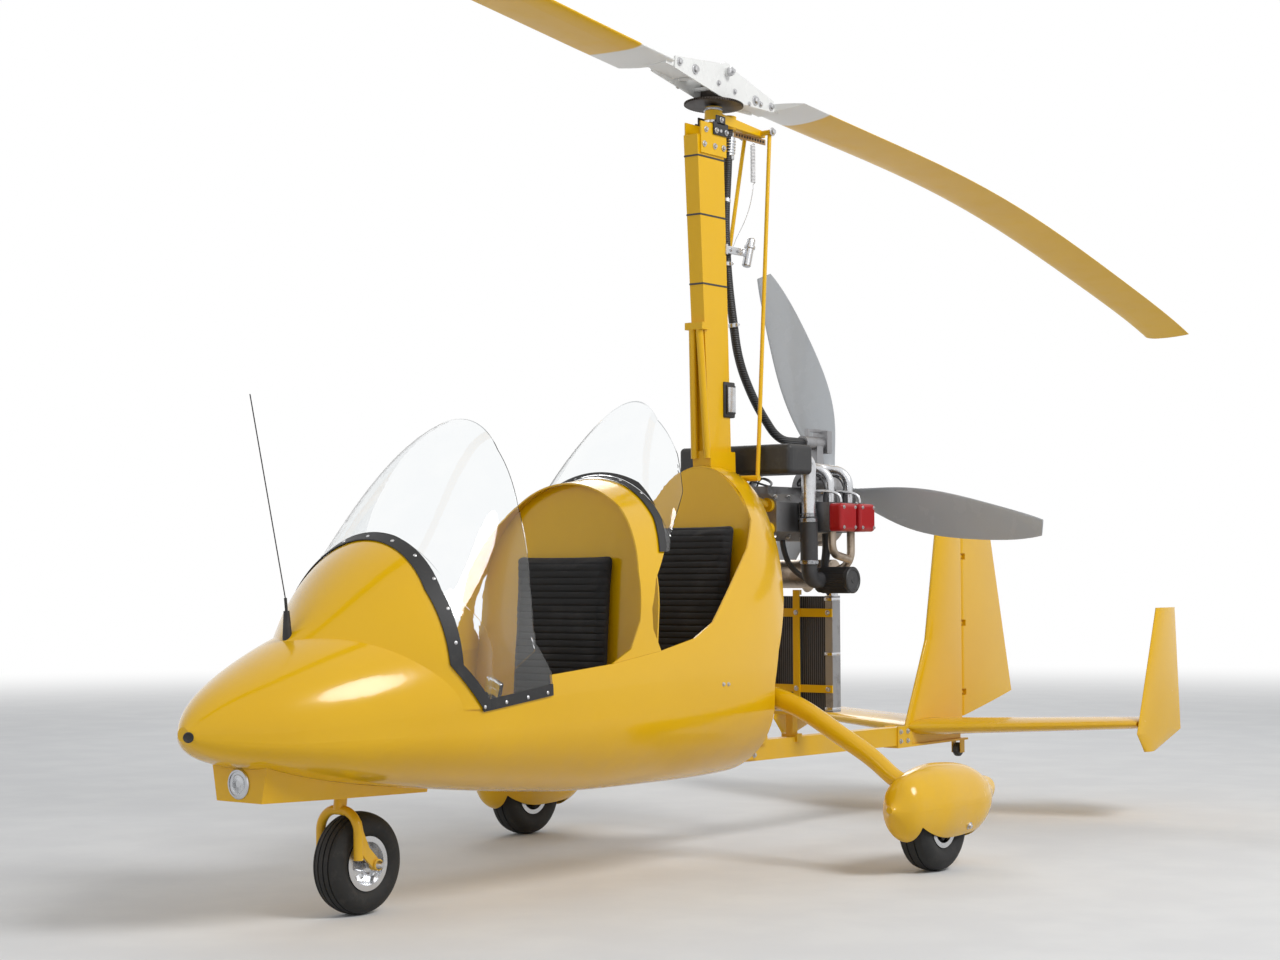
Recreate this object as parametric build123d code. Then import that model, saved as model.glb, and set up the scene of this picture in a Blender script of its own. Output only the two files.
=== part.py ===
# Two-seat tandem gyrocopter: open composite pod with two screens, mast with a
# two-blade teetering rotor, pusher flat-four engine, keel with a low tail,
# and tricycle gear with a steered nose wheel and faired main wheels.
#
# Millimetres, +X to the port side, +Y aft, +Z up, ground at Z = 0. Stations
# along Y are measured from a datum near the main axle; save() moves them so
# that the written frame has its origin on the ground under the rotor hub.

from build123d import *
import math
import os

os.makedirs("parts", exist_ok=True)

# Frame
HUB_STATION = -78.0
SEAM = 0.3

# Wheels and gear
TRACK = 1654.0
MAIN_Y = -102.0
MAIN_TYRE_R = 146.0
MAIN_TYRE_W = 104.0
NOSE_Y = -1773.0
NOSE_TYRE_R = 139.0
NOSE_TYRE_W = 96.0
RIM_R = 66.0
RIM_W = 84.0
RIM_WALL = 4.0
AXLE_R = 9.0
AXLE_FIT = 0.05
TAIL_WHEEL_R = 27.0
TAIL_WHEEL_W = 24.0
TAIL_WHEEL_Y = 1535.0
TAIL_WHEEL_Z = 227.0
TAIL_PIN_R = 4.0
LEG_R_ROOT = 35.0
LEG_R_TIP = 28.0
SPAT_WALL = 4.0
WHEEL_GAP = 10.0
AXLE_ARM_T = 10.0
FORK_TUBE_R = 13.0
FORK_WALL = 3.0
FORK_Y = -1840.0
FORK_X = 71.0
FORK_FOOT_Z = 157.0
FORK_CROWN_Z = 287.0
STEM_R = 14.0
STEER_RAKE = 8.0
HEAD_TUBE_R = 20.0
HEAD_TUBE_L = 100.0

# Pod
WALL = 5.0
HOOP_Y = -1717.0
HOOP_Z = 1027.0
SCREEN_T = 3.0
TRIM_T = 2.4
TRIM_W = 32.0
SCREEN_LAP = 14.0
FLOOR_Z = 345.0
FLOOR_T = 6.0
FLOOR_END = -240.0
PLATE_T = 5.0
CHIN_WALL = 4.0
CHIN_Y = -2200.0
LAMP_Z = 385.0
LAMP_R = 31.0
SEAT_HALF = 205.0
SEAT_T = 70.0
BACK_T = 48.0

# Mast and base frame
MAST_FOOT_Z = 360.0
MAST_TOP_Z = 2375.0
MAST_W_LOW = 49.0
MAST_W_TOP = 56.0
MAST_WALL = 4.0
BRACE_R = 12.5
FRAME_T = 8.0
COLLAR_T = 10.0

# Rotor
HUB_Z = 2603.0
ROTOR_TILT = 3.6
ROTOR_TURN = 3.6
ROTOR_R = 4115.0
UNDERSLING = 51.0
TEETER_BOLT_R = 8.0
TOWER_HALF = 34.0
HUB_PLATE_X = 41.3
HUB_PLATE_T = 6.0
HUB_PLATE_HALF = 315.0
BLADE_ROOT_S = 330.0
BLADE_CHORD = 220.0
BLADE_T = 26.0
RING_R = 97.0
RING_DROP = 112.0
RING_T = 8.0
SPINDLE_R = 12.0
HOSE_R = 15.0

# Propeller and engine
PROP_Y = 642.0
PROP_Z = 1216.0
PROP_R = 850.0
PROP_BLADES = 3
PROP_FIRST_DEG = 108.0
PROP_SHAFT_R = 20.0
CRANK_Z = 1110.0
CASE_HALF = 105.0
CASE_Y0 = 120.0
CASE_Y1 = 500.0
CASE_Z0 = 1030.0
CASE_Z1 = 1190.0
HEAD_IN = 186.0
HEAD_HALF = 235.0
COVER_HALF = 284.0
CYLINDER_YS = (301.0, 421.0)
BARREL_R = 44.0
FINS = 7

# Tail
KEEL_W = 50.0
KEEL_H = 68.0
KEEL_WALL = 4.0
KEEL_Y0 = -228.0
KEEL_Z0 = 286.6
KEEL_Y1 = 1090.0
KEEL_Z1 = 273.0
FIN_T = 46.0
FIN_END_T = 32.0
HINGE_Y = 1563.0
HINGE_GAP = 5.0
HINGE_ZS = (450.0, 720.0, 980.0)
HINGE_PIN_R = 3.0
STAB_HALF = 788.0
STAB_CHORD = 400.0
STAB_TIP_CHORD = 350.0
STAB_T = 64.0
STAB_SWEEP = 22.0
STAB_DIHEDRAL = 1.9
STAB_Y = 1135.0
STAB_Z = 332.0
TIP_FIN_T = 24.0
SKIN_T = 2.0

V = Vector


def save(shape, name):
    """Write one node in the object's frame."""
    solids = list(shape.solids())
    out = solids[0] if len(solids) == 1 else Compound(children=solids)
    out = Pos(0, -HUB_STATION, 0) * out
    out.label = name
    export_step(out, f"parts/{name}.step")


def box(x, y, z):
    """Box from three (low, high) pairs."""
    size = [b - a for a, b in (x, y, z)]
    mid = [(a + b) / 2 for a, b in (x, y, z)]
    return Pos(*mid) * Box(*size)


def soft_box(x, y, z, r):
    """Box with all its edges rounded."""
    body = box(x, y, z)
    return fillet(body.edges(), r)


def rod(p, q, r, r2=None):
    """Round bar from p to q, tapered where a second radius is given."""
    a, b = V(*p), V(*q)
    plane = Plane(origin=a, z_dir=b - a)
    align = (Align.CENTER, Align.CENTER, Align.MIN)
    if r2 is None or r2 == r:
        return plane * Cylinder(r, (b - a).length, align=align)
    return plane * Cone(r, r2, (b - a).length, align=align)


def bar(p, q, width, depth, side=(1, 0, 0)):
    """Rectangular bar from p to q, its width along side."""
    a, b = V(*p), V(*q)
    plane = Plane(origin=a, z_dir=b - a, x_dir=V(*side))
    return plane * Box(width, depth, (b - a).length, align=(Align.CENTER, Align.CENTER, Align.MIN))


def side_plate(points, x0, x1):
    """Flat piece between x0 and x1 whose side view is the polygon of (y, z)."""
    ends = points[1:] + points[:1]
    wire = Wire([Edge.make_line((x0, *a), (x0, *b)) for a, b in zip(points, ends)])
    return extrude(Face(wire), amount=x1 - x0, dir=(1, 0, 0))


def side_cut(points, half=700.0):
    """The same polygon right across the pod."""
    return side_plate(points, -half, half)


def arc_path(points):
    """Straight runs joined by the largest tangent arcs that fit them."""
    pts = [V(*p) for p in points]
    radii = []
    for a, b, c in zip(pts, pts[1:], pts[2:]):
        turn = math.radians((b - a).get_angle(c - b))
        radii.append(0.45 * min((b - a).length, (c - b).length) / math.tan(turn / 2))
    return FilletPolyline(*pts, radius=radii)


def pipe(points, r):
    """Bent round tube along points."""
    path = arc_path(points)
    return sweep(Plane(origin=path @ 0, z_dir=path % 0) * Circle(r), path=path)


def both(shape):
    """A shape and its mirror image across the centre plane."""
    return shape + mirror(shape, Plane.YZ)


def smooth(rows, y):
    """Row of a table at y, its columns following smooth curves through the rows."""
    ys = [row[0] for row in rows]
    i = max(0, min(len(rows) - 2, sum(1 for v in ys[1:] if v <= y)))
    out = [y]
    for col in range(1, len(rows[0])):
        vals = [row[col] for row in rows]
        rise = [(b - a) / (d - c) for a, b, c, d in zip(vals, vals[1:], ys, ys[1:])]
        slope = [rise[0]]
        for p, q in zip(rise, rise[1:]):
            slope.append(2 * p * q / (p + q) if p * q > 0 else 0.0)
        slope.append(rise[-1])
        h = ys[i + 1] - ys[i]
        t = (y - ys[i]) / h
        out.append(
            (2 * t**3 - 3 * t**2 + 1) * vals[i]
            + (t**3 - 2 * t**2 + t) * h * slope[i]
            + (3 * t**2 - 2 * t**3) * vals[i + 1]
            + (t**3 - t**2) * h * slope[i + 1]
        )
    return out


def stations(rows, count):
    """Evenly spaced rows of a smoothed table."""
    step = (rows[-1][0] - rows[0][0]) / (count - 1)
    return [smooth(rows, rows[0][0] + step * i) for i in range(count)]


def ring_arc(cx, cz, rx, rz, a0, a1, y):
    """Arc of an ellipse in the plane across the pod at y."""
    plane = Plane(origin=(cx, y, cz), x_dir=(1, 0, 0), z_dir=(0, -1, 0))
    return Edge.make_ellipse(rx, rz, plane, a0, a1)


def pod_ring(y, low, mid, top, half, inset=0.0, cx=0.0):
    """Closed cross-section: rounded belly, short sides, arched top."""
    lo, hi, w = low + inset, top - inset, half - inset
    rx, rz = 0.78 * w, 0.72 * (mid - lo)
    a, b = w - rx, lo + rz
    return Wire([
        Edge.make_line((cx - a, y, lo), (cx + a, y, lo)),
        ring_arc(cx + a, b, rx, rz, 270, 360, y),
        Edge.make_line((cx + w, y, b), (cx + w, y, mid)),
        ring_arc(cx, mid, w, hi - mid, 0, 180, y),
        Edge.make_line((cx - w, y, mid), (cx - w, y, b)),
        ring_arc(cx - a, b, rx, rz, 180, 270, y),
    ])


def arch_ring(y_foot, y_top, foot, spring, top, half, inset=0.0):
    """Arch on a sill: legs up to the spring line, then half an ellipse. Its
    plane leans from y_foot at the foot to y_top at the crown."""
    w, hi = half - inset, top - inset
    lean = math.atan2(y_top - y_foot, top - foot)
    k = 1.0 / math.cos(lean)
    plane = Plane(origin=(0, y_foot, foot), x_dir=(1, 0, 0), z_dir=(0, -math.cos(lean), math.sin(lean)))
    s, h = (spring - foot) * k, (hi - foot) * k
    crown = Plane(origin=plane.from_local_coords((0, s, 0)), x_dir=plane.x_dir, z_dir=plane.z_dir)
    pts = [plane.from_local_coords(p) for p in ((-w, 0, 0), (w, 0, 0), (w, s, 0), (-w, s, 0))]
    return Wire([
        Edge.make_line(pts[0], pts[1]),
        Edge.make_line(pts[1], pts[2]),
        Edge.make_ellipse(w, h - s, crown, 0, 180),
        Edge.make_line(pts[3], pts[0]),
    ])


def wing_ring(front, chord_dir, up_dir, chord, thick, nose, end):
    """Aerofoil section from its front point: elliptic nose, arcs to a blunt end."""
    c, n = V(*chord_dir), V(*up_dir)
    plane = Plane(origin=front, x_dir=c, z_dir=c.cross(n))
    mid = Plane(origin=plane.from_local_coords((nose, 0, 0)), x_dir=plane.x_dir, z_dir=plane.z_dir)
    t, e = thick / 2, end / 2
    run = chord - nose

    def at(x, y):
        return plane.from_local_coords((x, y, 0))

    def flank(s):
        return at(nose, s * t), at(nose + run / 2, s * (t - (t - e) / 4)), at(chord, s * e)

    top, low = flank(1), flank(-1)
    return Wire([
        Edge.make_ellipse(nose, t, mid, 90, 270),
        Edge.make_three_point_arc(*low),
        Edge.make_line(low[2], top[2]),
        Edge.make_three_point_arc(*reversed(top)),
    ])


# Pod: one shell from nose to tail, cut open over both seats and behind.
# Columns: y, belly z, widest z, top z, half width.
POD = [
    (-2387, 505, 522, 541, 20),
    (-2300, 455, 520, 618, 118),
    (-2150, 412, 528, 705, 208),
    (-1950, 374, 545, 780, 284),
    (-1700, 342, 560, 860, 334),
    (-1370, 305, 580, 960, 354),
    (-900, 272, 600, 1040, 360),
    (-450, 268, 610, 1180, 352),
    (-176, 276, 610, 1275, 324),
    (40, 296, 560, 1240, 236),
    (200, 338, 500, 1100, 140),
    (340, 385, 450, 900, 40),
]
POD_STATIONS = 17
# Hood in front of the screen.
# Columns: foot y, crown y, foot z, spring z, crown z, half width.
HOOD = [
    (-2060, -2060, 560, 600, 735, 60),
    (-1960, -1960, 560, 620, 835, 165),
    (-1840, -1840, 560, 650, 948, 262),
    (-1720, -1720, 560, 680, HOOP_Z, 330),
    (-1600, -1600, 560, 700, HOOP_Z + 50, 338),
]
# Side views of the openings' edges, as (y, z).
FRONT_EDGE = [(HOOP_Y, 1500), (HOOP_Y, HOOP_Z), (-1738, 880), (-1722, 680), (-1624, 580), (-1369, 612)]
SILL = [(-1369, 640), (-1092, 661), (-861, 691), (-688, 723)]
REAR_EDGE = [(-580, 769), (-500, 835), (-400, 915), (-290, 1000), (-205, 1090), (-180, 1180), (-176, 1500)]
AFT_EDGE = [(-34, 1500), (-34, 1208), (-20, 1180), (-50, 1000), (-115, 830), (-205, 670), (-238, 560), (-238, 200)]
# Middle cowl: arch between the cockpits, standing on the sill.
MID_COWL = [
    (-1120, -1120, 600, 790, 1170, 350),
    (-980, -980, 600, 800, 1185, 352),
    (-840, -840, 600, 810, 1202, 352),
    (-700, -700, 600, 820, 1224, 350),
]
MID_FRONT = [(-1092, 661), (-1005, 700), (-962, 780), (-945, 925), (-905, 1040), (-875, 1120), (-866, 1500)]
MID_REAR = [(-722, 1500), (-722, 1200), (-745, 1090), (-797, 985), (-872, 904), (-905, 817), (-900, 756), (-861, 691)]
# Screens, columns as the hood's, and the side views of their free edges.
FRONT_SCREEN = [
    (HOOP_Y, HOOP_Y, 560, 676, HOOP_Z, 330),
    (-1630, -1620, 560, 730, 1148, 338),
    (-1540, -1510, 560, 790, 1268, 338),
    (-1430, -1365, 560, 850, 1365, 330),
]
FRONT_FREE = [(-1365, 1500), (-1365, 1365), (-1400, 1270), (-1430, 1100), (-1440, 900), (-1425, 770), (-1369, 650)]
REAR_SCREEN = [
    (-790, -722, 640, 820, 1224, 350),
    (-740, -660, 640, 850, 1324, 342),
    (-690, -595, 640, 880, 1404, 325),
    (-640, -528, 640, 900, 1468, 300),
]
REAR_FREE = [(-775, 985), (-710, 1085), (-640, 1170), (-590, 1290), (-565, 1400), (-530, 1469), (-530, 1500)]
# Plates behind the seats, as (foot y, crown y).
FRONT_PLATE = (-900, -830)
REAR_PLATE = (-275, -176)
PLATE_FOOT_Z = 350
PLATE_CROWN_Z = 1270


def pod_loft(inset=0.0, trim=0):
    rows = stations(POD, POD_STATIONS)
    rows = rows[trim:len(rows) - trim]
    return Solid.make_loft([pod_ring(*row, inset=inset) for row in rows])


def arch_loft(rows, inset=0.0):
    return Solid.make_loft([arch_ring(*row, inset=inset) for row in rows])


def rod_axis(z):
    """Point of the steering axis at height z."""
    return (0, FORK_Y + (z - FORK_CROWN_Z) * math.tan(math.radians(STEER_RAKE)), z)


def head_tube_hole(gap):
    return rod(rod_axis(FORK_CROWN_Z), rod_axis(FORK_CROWN_Z + 2 * HEAD_TUBE_L), HEAD_TUBE_R + gap)


def mast_line(z, front):
    """Station of the mast's front or rear face at height z."""
    t = (z - MAST_FOOT_Z) / (MAST_TOP_Z - MAST_FOOT_Z)
    return (-100 - 119 * t) if front else -69 * t


def mast_solid(grow=0.0, z0=MAST_FOOT_Z, z1=MAST_TOP_Z):
    rings = []
    for z in (z0, z1):
        t = (z - MAST_FOOT_Z) / (MAST_TOP_Z - MAST_FOOT_Z)
        w = (MAST_W_LOW + (MAST_W_TOP - MAST_W_LOW) * t) / 2 + grow
        y0, y1 = mast_line(z, True) - grow, mast_line(z, False) + grow
        rings.append(Wire.make_polygon([(-w, y0, z), (w, y0, z), (w, y1, z), (-w, y1, z)], close=True))
    return Solid.make_loft(rings, ruled=True)


def keel_z(y):
    """Lower face of the keel at station y."""
    return KEEL_Z0 + (KEEL_Z1 - KEEL_Z0) * (y - KEEL_Y0) / (KEEL_Y1 - KEEL_Y0)


def keel_solid(grow=0.0, y0=KEEL_Y0, y1=KEEL_Y1):
    half = KEEL_W / 2 + grow
    points = [
        (y0, keel_z(y0) - grow),
        (y1, keel_z(y1) - grow),
        (y1, keel_z(y1) + KEEL_H + grow),
        (y0, keel_z(y0) + KEEL_H + grow),
    ]
    return side_plate(points, -half, half)


def make_hull():
    body = pod_loft() + arch_loft(HOOD)
    body -= pod_loft(WALL, 1)
    body -= arch_loft(HOOD, WALL)
    body -= side_cut(FRONT_EDGE + SILL + REAR_EDGE)
    body -= side_cut(AFT_EDGE + [(500, 200), (500, 1500)])
    body -= head_tube_hole(SEAM)
    collar = MAST_W_TOP / 2 + COLLAR_T + 2
    return body - box((-collar, collar), (mast_line(1325, True) - COLLAR_T - 2, 0), (1150, 1400))


def make_chin():
    """Fairing under the nose with a flat front for the landing lamp."""
    def ring(y, low, top, half_low, half_top, inset):
        a, b = half_low - inset, half_top - inset
        pts = [(-a, y, low + inset), (a, y, low + inset), (b, y, top), (-b, y, top)]
        return Wire.make_polygon(pts, close=True)

    # Columns: y, low z, top z, half width at the bottom, half width at the top.
    rows = [(CHIN_Y, 338, 520, 84, 118), (-1950, 330, 520, 92, 128), (-1560, 316, 500, 60, 100)]
    skin = Solid.make_loft([ring(*row, 0) for row in rows], ruled=True)
    inner = [(CHIN_Y + CHIN_WALL, *rows[0][1:])] + rows[1:]
    skin -= Solid.make_loft([ring(*row, CHIN_WALL) for row in inner], ruled=True)
    skin -= rod((0, CHIN_Y - 5, LAMP_Z), (0, CHIN_Y + 20, LAMP_Z), LAMP_R + SEAM)
    skin -= head_tube_hole(SEAM)
    return skin - pod_loft(-SEAM)


def make_lamp():
    """Landing lamp: bowl, rim and domed lens, set in the chin's front."""
    profile = Polyline((0, 2), (LAMP_R - 8, 6), (LAMP_R - 4, 0), (LAMP_R, 0), (LAMP_R, -6), (LAMP_R - 10, -30), (0, -38), (0, 2))
    bowl = revolve(make_face(profile), Axis.Y)
    return Pos(0, CHIN_Y, LAMP_Z) * Rot(Z=180) * bowl


def cover(offset):
    """Outer shape of the nose, hood and front screen, grown by an offset."""
    return pod_loft(-offset) + arch_loft(HOOD, -offset) + arch_loft(FRONT_SCREEN, -offset)


def rear_cover(offset):
    return arch_loft(MID_COWL, -offset) + arch_loft(REAR_SCREEN, -offset)


def shift(points, dy=0.0, dz=0.0):
    return [(y + dy, z + dz) for y, z in points]


def screens_and_trims():
    glass = (SEAM, SEAM + SCREEN_T)
    strip = (2 * SEAM + SCREEN_T, 2 * SEAM + SCREEN_T + TRIM_T)
    lap = [(HOOP_Y, 1500), (HOOP_Y, HOOP_Z), (-1738, 880), (-1722, 680), (-1624, 580), (-1369, 612)]
    inner = shift(lap[:4], -SCREEN_LAP) + [(-1634, 580 - SCREEN_LAP), (-1369, 612 - SCREEN_LAP)]
    outer = shift(lap[:4], -TRIM_W + 4) + [(-1642, 580 - TRIM_W + 4), (-1369, 612 - TRIM_W + 4)]
    band = outer + [(-1369, 616), (-1622, 585), (-1715, 680), (-1730, 880), (HOOP_Y + 4, HOOP_Z), (HOOP_Y + 4, 1500)]
    front_glass = (cover(glass[1]) - cover(glass[0])) & side_cut(inner + FRONT_FREE[::-1])
    front_trim = (cover(strip[1]) - cover(strip[0])) & side_cut(band)
    hoop = MID_REAR[:4]
    lap_line = shift(hoop, -SCREEN_LAP)
    rear_glass = (rear_cover(glass[1]) - rear_cover(glass[0])) & side_cut(lap_line + REAR_FREE)
    rear_band = shift(hoop, -TRIM_W + 4) + shift(hoop, 4)[::-1]
    rear_trim = (rear_cover(strip[1]) - rear_cover(strip[0])) & side_cut(rear_band)
    return front_glass, front_trim, rear_glass, rear_trim


def plate_line(plate, z):
    foot, crown = plate
    return foot + (crown - foot) * (z - PLATE_FOOT_Z) / (PLATE_CROWN_Z - PLATE_FOOT_Z)


def leaning(plate, z0, z1, y0, y1):
    """Slab along a seat plate, from y0 to y1 beside its middle line."""
    low, high = plate_line(plate, z0), plate_line(plate, z1)
    return [(low + y0, z0), (low + y1, z0), (high + y1, z1), (high + y0, z1)]


hull = make_hull()
save(hull, "hull_shell")
save(make_chin(), "chin_box")
save(make_lamp(), "landing_lamp")
front_glass, front_trim, rear_glass, rear_trim = screens_and_trims()
save(front_glass, "front_screen")
save(rear_glass, "rear_screen")
save(front_trim + rear_trim, "screen_trims")

# Cowl between the cockpits and the plates behind the seats
cowl = (arch_loft(MID_COWL) - arch_loft(MID_COWL, WALL)) & side_cut(MID_FRONT + MID_REAR)
cowl -= side_cut([(-1120, 500), (-1120, 659 + SEAM), (-1092, 661 + SEAM), (-861, 691 + SEAM), (-830, 696), (-830, 500)])
save(cowl, "mid_cowl")
cabin = pod_loft(WALL + SEAM, 1)
cowl_inside = arch_loft(MID_COWL, WALL + SEAM)
floor_top = FLOOR_Z + FLOOR_T
floor = cabin & box((-360, 360), (-1800, FLOOR_END), (FLOOR_Z, floor_top))
save(floor, "cabin_floor")
front_plate = side_cut(leaning(FRONT_PLATE, floor_top + SEAM, 1260, -PLATE_T / 2, PLATE_T / 2))
low_part = front_plate & cabin & box((-360, 360), (-1000, -700), (300, 689))
high_part = front_plate & cowl_inside & box((-360, 360), (-1000, -700), (689, 1300))
rear_plate = side_cut(leaning(REAR_PLATE, floor_top + SEAM, 1300, -PLATE_T / 2, PLATE_T / 2)) & cabin
save(low_part + high_part + rear_plate, "bulkheads")
print("pod done")


def seat_base(y0, y1, z0):
    return soft_box((-SEAT_HALF, SEAT_HALF), (y0, y1), (z0, z0 + SEAT_T), 18)


def seat_back(plate, z0, z1, half):
    rear = -PLATE_T / 2 - SEAM
    body = side_plate(leaning(plate, z0, z1, rear - BACK_T, rear), -half, half)
    return fillet(body.edges(), 14)


def seat_tank(y0, y1, z1):
    """Fuel tank on the floor that carries a seat cushion."""
    return box((-SEAT_HALF + 12, SEAT_HALF - 12), (y0, y1), (floor_top + SEAM, z1))


# Front and rear seats. Columns: cushion front y, cushion rear y, cushion low z.
FRONT_SEAT = (-1290, -950, 430)
REAR_SEAT = (-630, -320, 460)
tanks = [seat_tank(y0 + 15, y1 - 5, z - SEAM) for y0, y1, z in (FRONT_SEAT, REAR_SEAT)]
save(tanks[0] + tanks[1], "seat_tanks")
save(seat_base(*FRONT_SEAT) + seat_base(*REAR_SEAT), "seat_bases")
save(seat_back(FRONT_PLATE, 440, 990, 200) + seat_back(REAR_PLATE, 470, 1090, 175), "seat_backs")

# Battery on the floor in front of the pedals
battery = box((-95, 95), (-1775, -1645), (360, 529)) + box((-97, 97), (-1777, -1643), (516, 529))
battery += box((-95, 95), (-1720, -1645), (floor_top + SEAM, 361))
for x in (-70, 70):
    battery += rod((x, -1752, 528), (x, -1752, 543), 9)
save(battery, "battery")

# Panel under the hood, closed to the hood all round
PANEL_Y = -1748
panel = arch_loft(HOOD, WALL + SEAM) & box((-360, 360), (PANEL_Y, PANEL_Y + 6), (672, 1100))
save(panel - side_cut([(PANEL_Y - 9, 600), (PANEL_Y + 9, 600), (PANEL_Y + 9, 700), (PANEL_Y - 9, 700)], 150), "instrument_panel")


def stick(y):
    """Control stick: foot on the floor, bent rod and a grip."""
    foot = rod((0, y, floor_top + SEAM), (0, y, floor_top + 14), 26)
    shaft = pipe([(0, y, floor_top + 8), (0, y, 430), (0, y - 30, 500), (0, y + 10, 600)], 9)
    return foot + shaft + rod((0, y + 10, 598), (0, y + 24, 690), 17, 14)


PEDAL_Y = -1600.0


def pedals():
    cross = rod((-150, PEDAL_Y, 385), (150, PEDAL_Y, 385), 9)
    for x in (-145, 145):
        cross += box((x - 6, x + 6), (PEDAL_Y - 12, PEDAL_Y + 12), (floor_top + SEAM, 394))
    for x in (-90, 90):
        cross += bar((x, PEDAL_Y, 385), (x, PEDAL_Y - 22, 530), 60, 6)
    return cross


save(stick(-1420) + stick(-720) + pedals(), "flight_controls")
print("cabin done")

# Structure: keel, mast, base frame
save(keel_solid() - keel_solid(-KEEL_WALL, KEEL_Y0 - 1, KEEL_Y1 + 1), "keel_beam")


BRACE_Z0 = 1300.0
BRACE_Z1 = 1750.0


def brace():
    """Thin tube up the front of the mast from the collar at the fairing's crown."""
    off = BRACE_R + SEAM
    low = (26, mast_line(BRACE_Z0, True) - off, BRACE_Z0)
    high = (BRACE_R + 1, mast_line(BRACE_Z1, True) - off, BRACE_Z1)
    return rod(low, high, BRACE_R)


save(mast_solid() - mast_solid(-MAST_WALL, MAST_FOOT_Z - 1, MAST_TOP_Z + 1), "mast")
collar = mast_solid(COLLAR_T, 1255, 1325) + both(brace())
top_y = mast_line(BRACE_Z1, True)
collar += box((-36, 36), (top_y - 2 * BRACE_R, top_y + 12), (BRACE_Z1 - 24, BRACE_Z1))
save(collar - mast_solid(SEAM, 1200, 1800), "mast_collar")


# Main gear bow. Columns: x, y, z of the centre line, radius.
BOW_Y = -195.0
BOW_Z = 566.0
BOW = [
    (-810, -245, 282, LEG_R_TIP),
    (-600, -222, 396, 30),
    (-330, -196, 515, 33),
    (0, BOW_Y, BOW_Z, LEG_R_ROOT),
    (330, -196, 515, 33),
    (600, -222, 396, 30),
    (810, -245, 282, LEG_R_TIP),
]
BOW_STATIONS = 15


def bow_solid(grow=0.0):
    rows = stations(BOW, BOW_STATIONS)
    rings = []
    for i, (x, y, z, r) in enumerate(rows):
        before, after = rows[max(0, i - 1)], rows[min(len(rows) - 1, i + 1)]
        lead = V(*after[:3]) - V(*before[:3])
        plane = Plane(origin=(x, y, z), x_dir=V(0, 1, 0) - lead * (lead.Y / lead.length**2), z_dir=lead)
        rings.append(Wire([Edge.make_circle(r + grow, plane)]))
    return Solid.make_loft(rings)


def make_base_frame():
    """Two side plates that join keel, mast foot and gear bow, with a flange
    against the plate behind the rear seat."""
    x0 = KEEL_W / 2 + SEAM
    face = PLATE_T / 2 + SEAM
    foot_top = MAST_FOOT_Z - SEAM
    outline = [
        (plate_line(REAR_PLATE, 357) + face, 357), (plate_line(REAR_PLATE, 560) + face, 560), (-215, 612),
        (-165, 618), (-60, 560), (30, 430), (100, 372), (100, KEEL_Z0 + 4), (KEEL_Y0, KEEL_Z0 + 4), (KEEL_Y0, 357),
    ]
    plate = side_plate(outline, x0, x0 + FRAME_T)
    plate -= rod((0, BOW_Y, BOW_Z - 0.5), (60, BOW_Y, BOW_Z - 0.5), LEG_R_ROOT + 1)
    foot = box((-x0 - FRAME_T, x0 + FRAME_T), (KEEL_Y0, 0), (355.2, foot_top))
    flange = side_plate(leaning(REAR_PLATE, 380, 520, face, face + 6), -80, 80)
    return both(plate) + foot + flange


bow = bow_solid()
save(bow, "gear_bow")
save(make_base_frame(), "base_frame")
print("structure done")

# Spats and axles. Columns: y, low z, high z, half width.
SPAT = [
    (-360, 196, 216, 10),
    (-345, 176, 236, 30),
    (-300, 122, 280, 58),
    (-230, 92, 314, 80),
    (-100, 76, 330, 97),
    (50, 86, 320, 98),
    (150, 130, 287, 72),
    (240, 212, 252, 22),
    (256, 230, 243, 7),
]
SPAT_STATIONS = 12
WHEEL_X = TRACK / 2


def spat_shell(inset):
    rings = []
    for y, lo, hi, half in stations(SPAT, SPAT_STATIONS):
        size = (WHEEL_X, (lo + hi) / 2, half - inset, (hi - lo) / 2 - inset)
        if min(size[2:]) > 2:
            rings.append(Wire([ring_arc(*size, 0, 180, y), ring_arc(*size, 180, 360, y)]))
    if inset:
        rings = rings[1:-1]
    return Solid.make_loft(rings)


def make_spat():
    shell = spat_shell(0) - spat_shell(SPAT_WALL)
    slot = MAIN_TYRE_W / 2 + WHEEL_GAP
    reach = MAIN_TYRE_R + 2 * WHEEL_GAP
    shell -= box((WHEEL_X - slot, WHEEL_X + slot), (MAIN_Y - reach, MAIN_Y + reach), (0, 150))
    return shell - bow_solid(SEAM)


def make_axle():
    """Arm from the bow's tip down to the stub axle, inside the spat."""
    x1 = WHEEL_X - MAIN_TYRE_W / 2 - 6
    x0 = x1 - AXLE_ARM_T
    boss_r = 16
    tip_y, tip_z = -245, 282 - LEG_R_TIP - SEAM - boss_r - 1.2
    arm = Face(Wire.make_polygon([(x0, tip_y + 3, tip_z + 14), (x0, tip_y - 12, tip_z - 8), (x0, MAIN_Y - 14, MAIN_TYRE_R - 14), (x0, MAIN_Y + 12, MAIN_TYRE_R + 15)], close=True))
    body = extrude(arm, amount=AXLE_ARM_T, dir=(1, 0, 0))
    body += rod((x0, MAIN_Y, MAIN_TYRE_R), (x1, MAIN_Y, MAIN_TYRE_R), 20)
    body += rod((x0, tip_y, tip_z), (800, tip_y, tip_z), boss_r)
    body += rod((x1 - 1, MAIN_Y, MAIN_TYRE_R), (WHEEL_X + 60, MAIN_Y, MAIN_TYRE_R), AXLE_R)
    return body & spat_shell(SPAT_WALL + SEAM)


save(both(make_spat()), "spats")
save(both(make_axle()), "main_axles")


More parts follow.
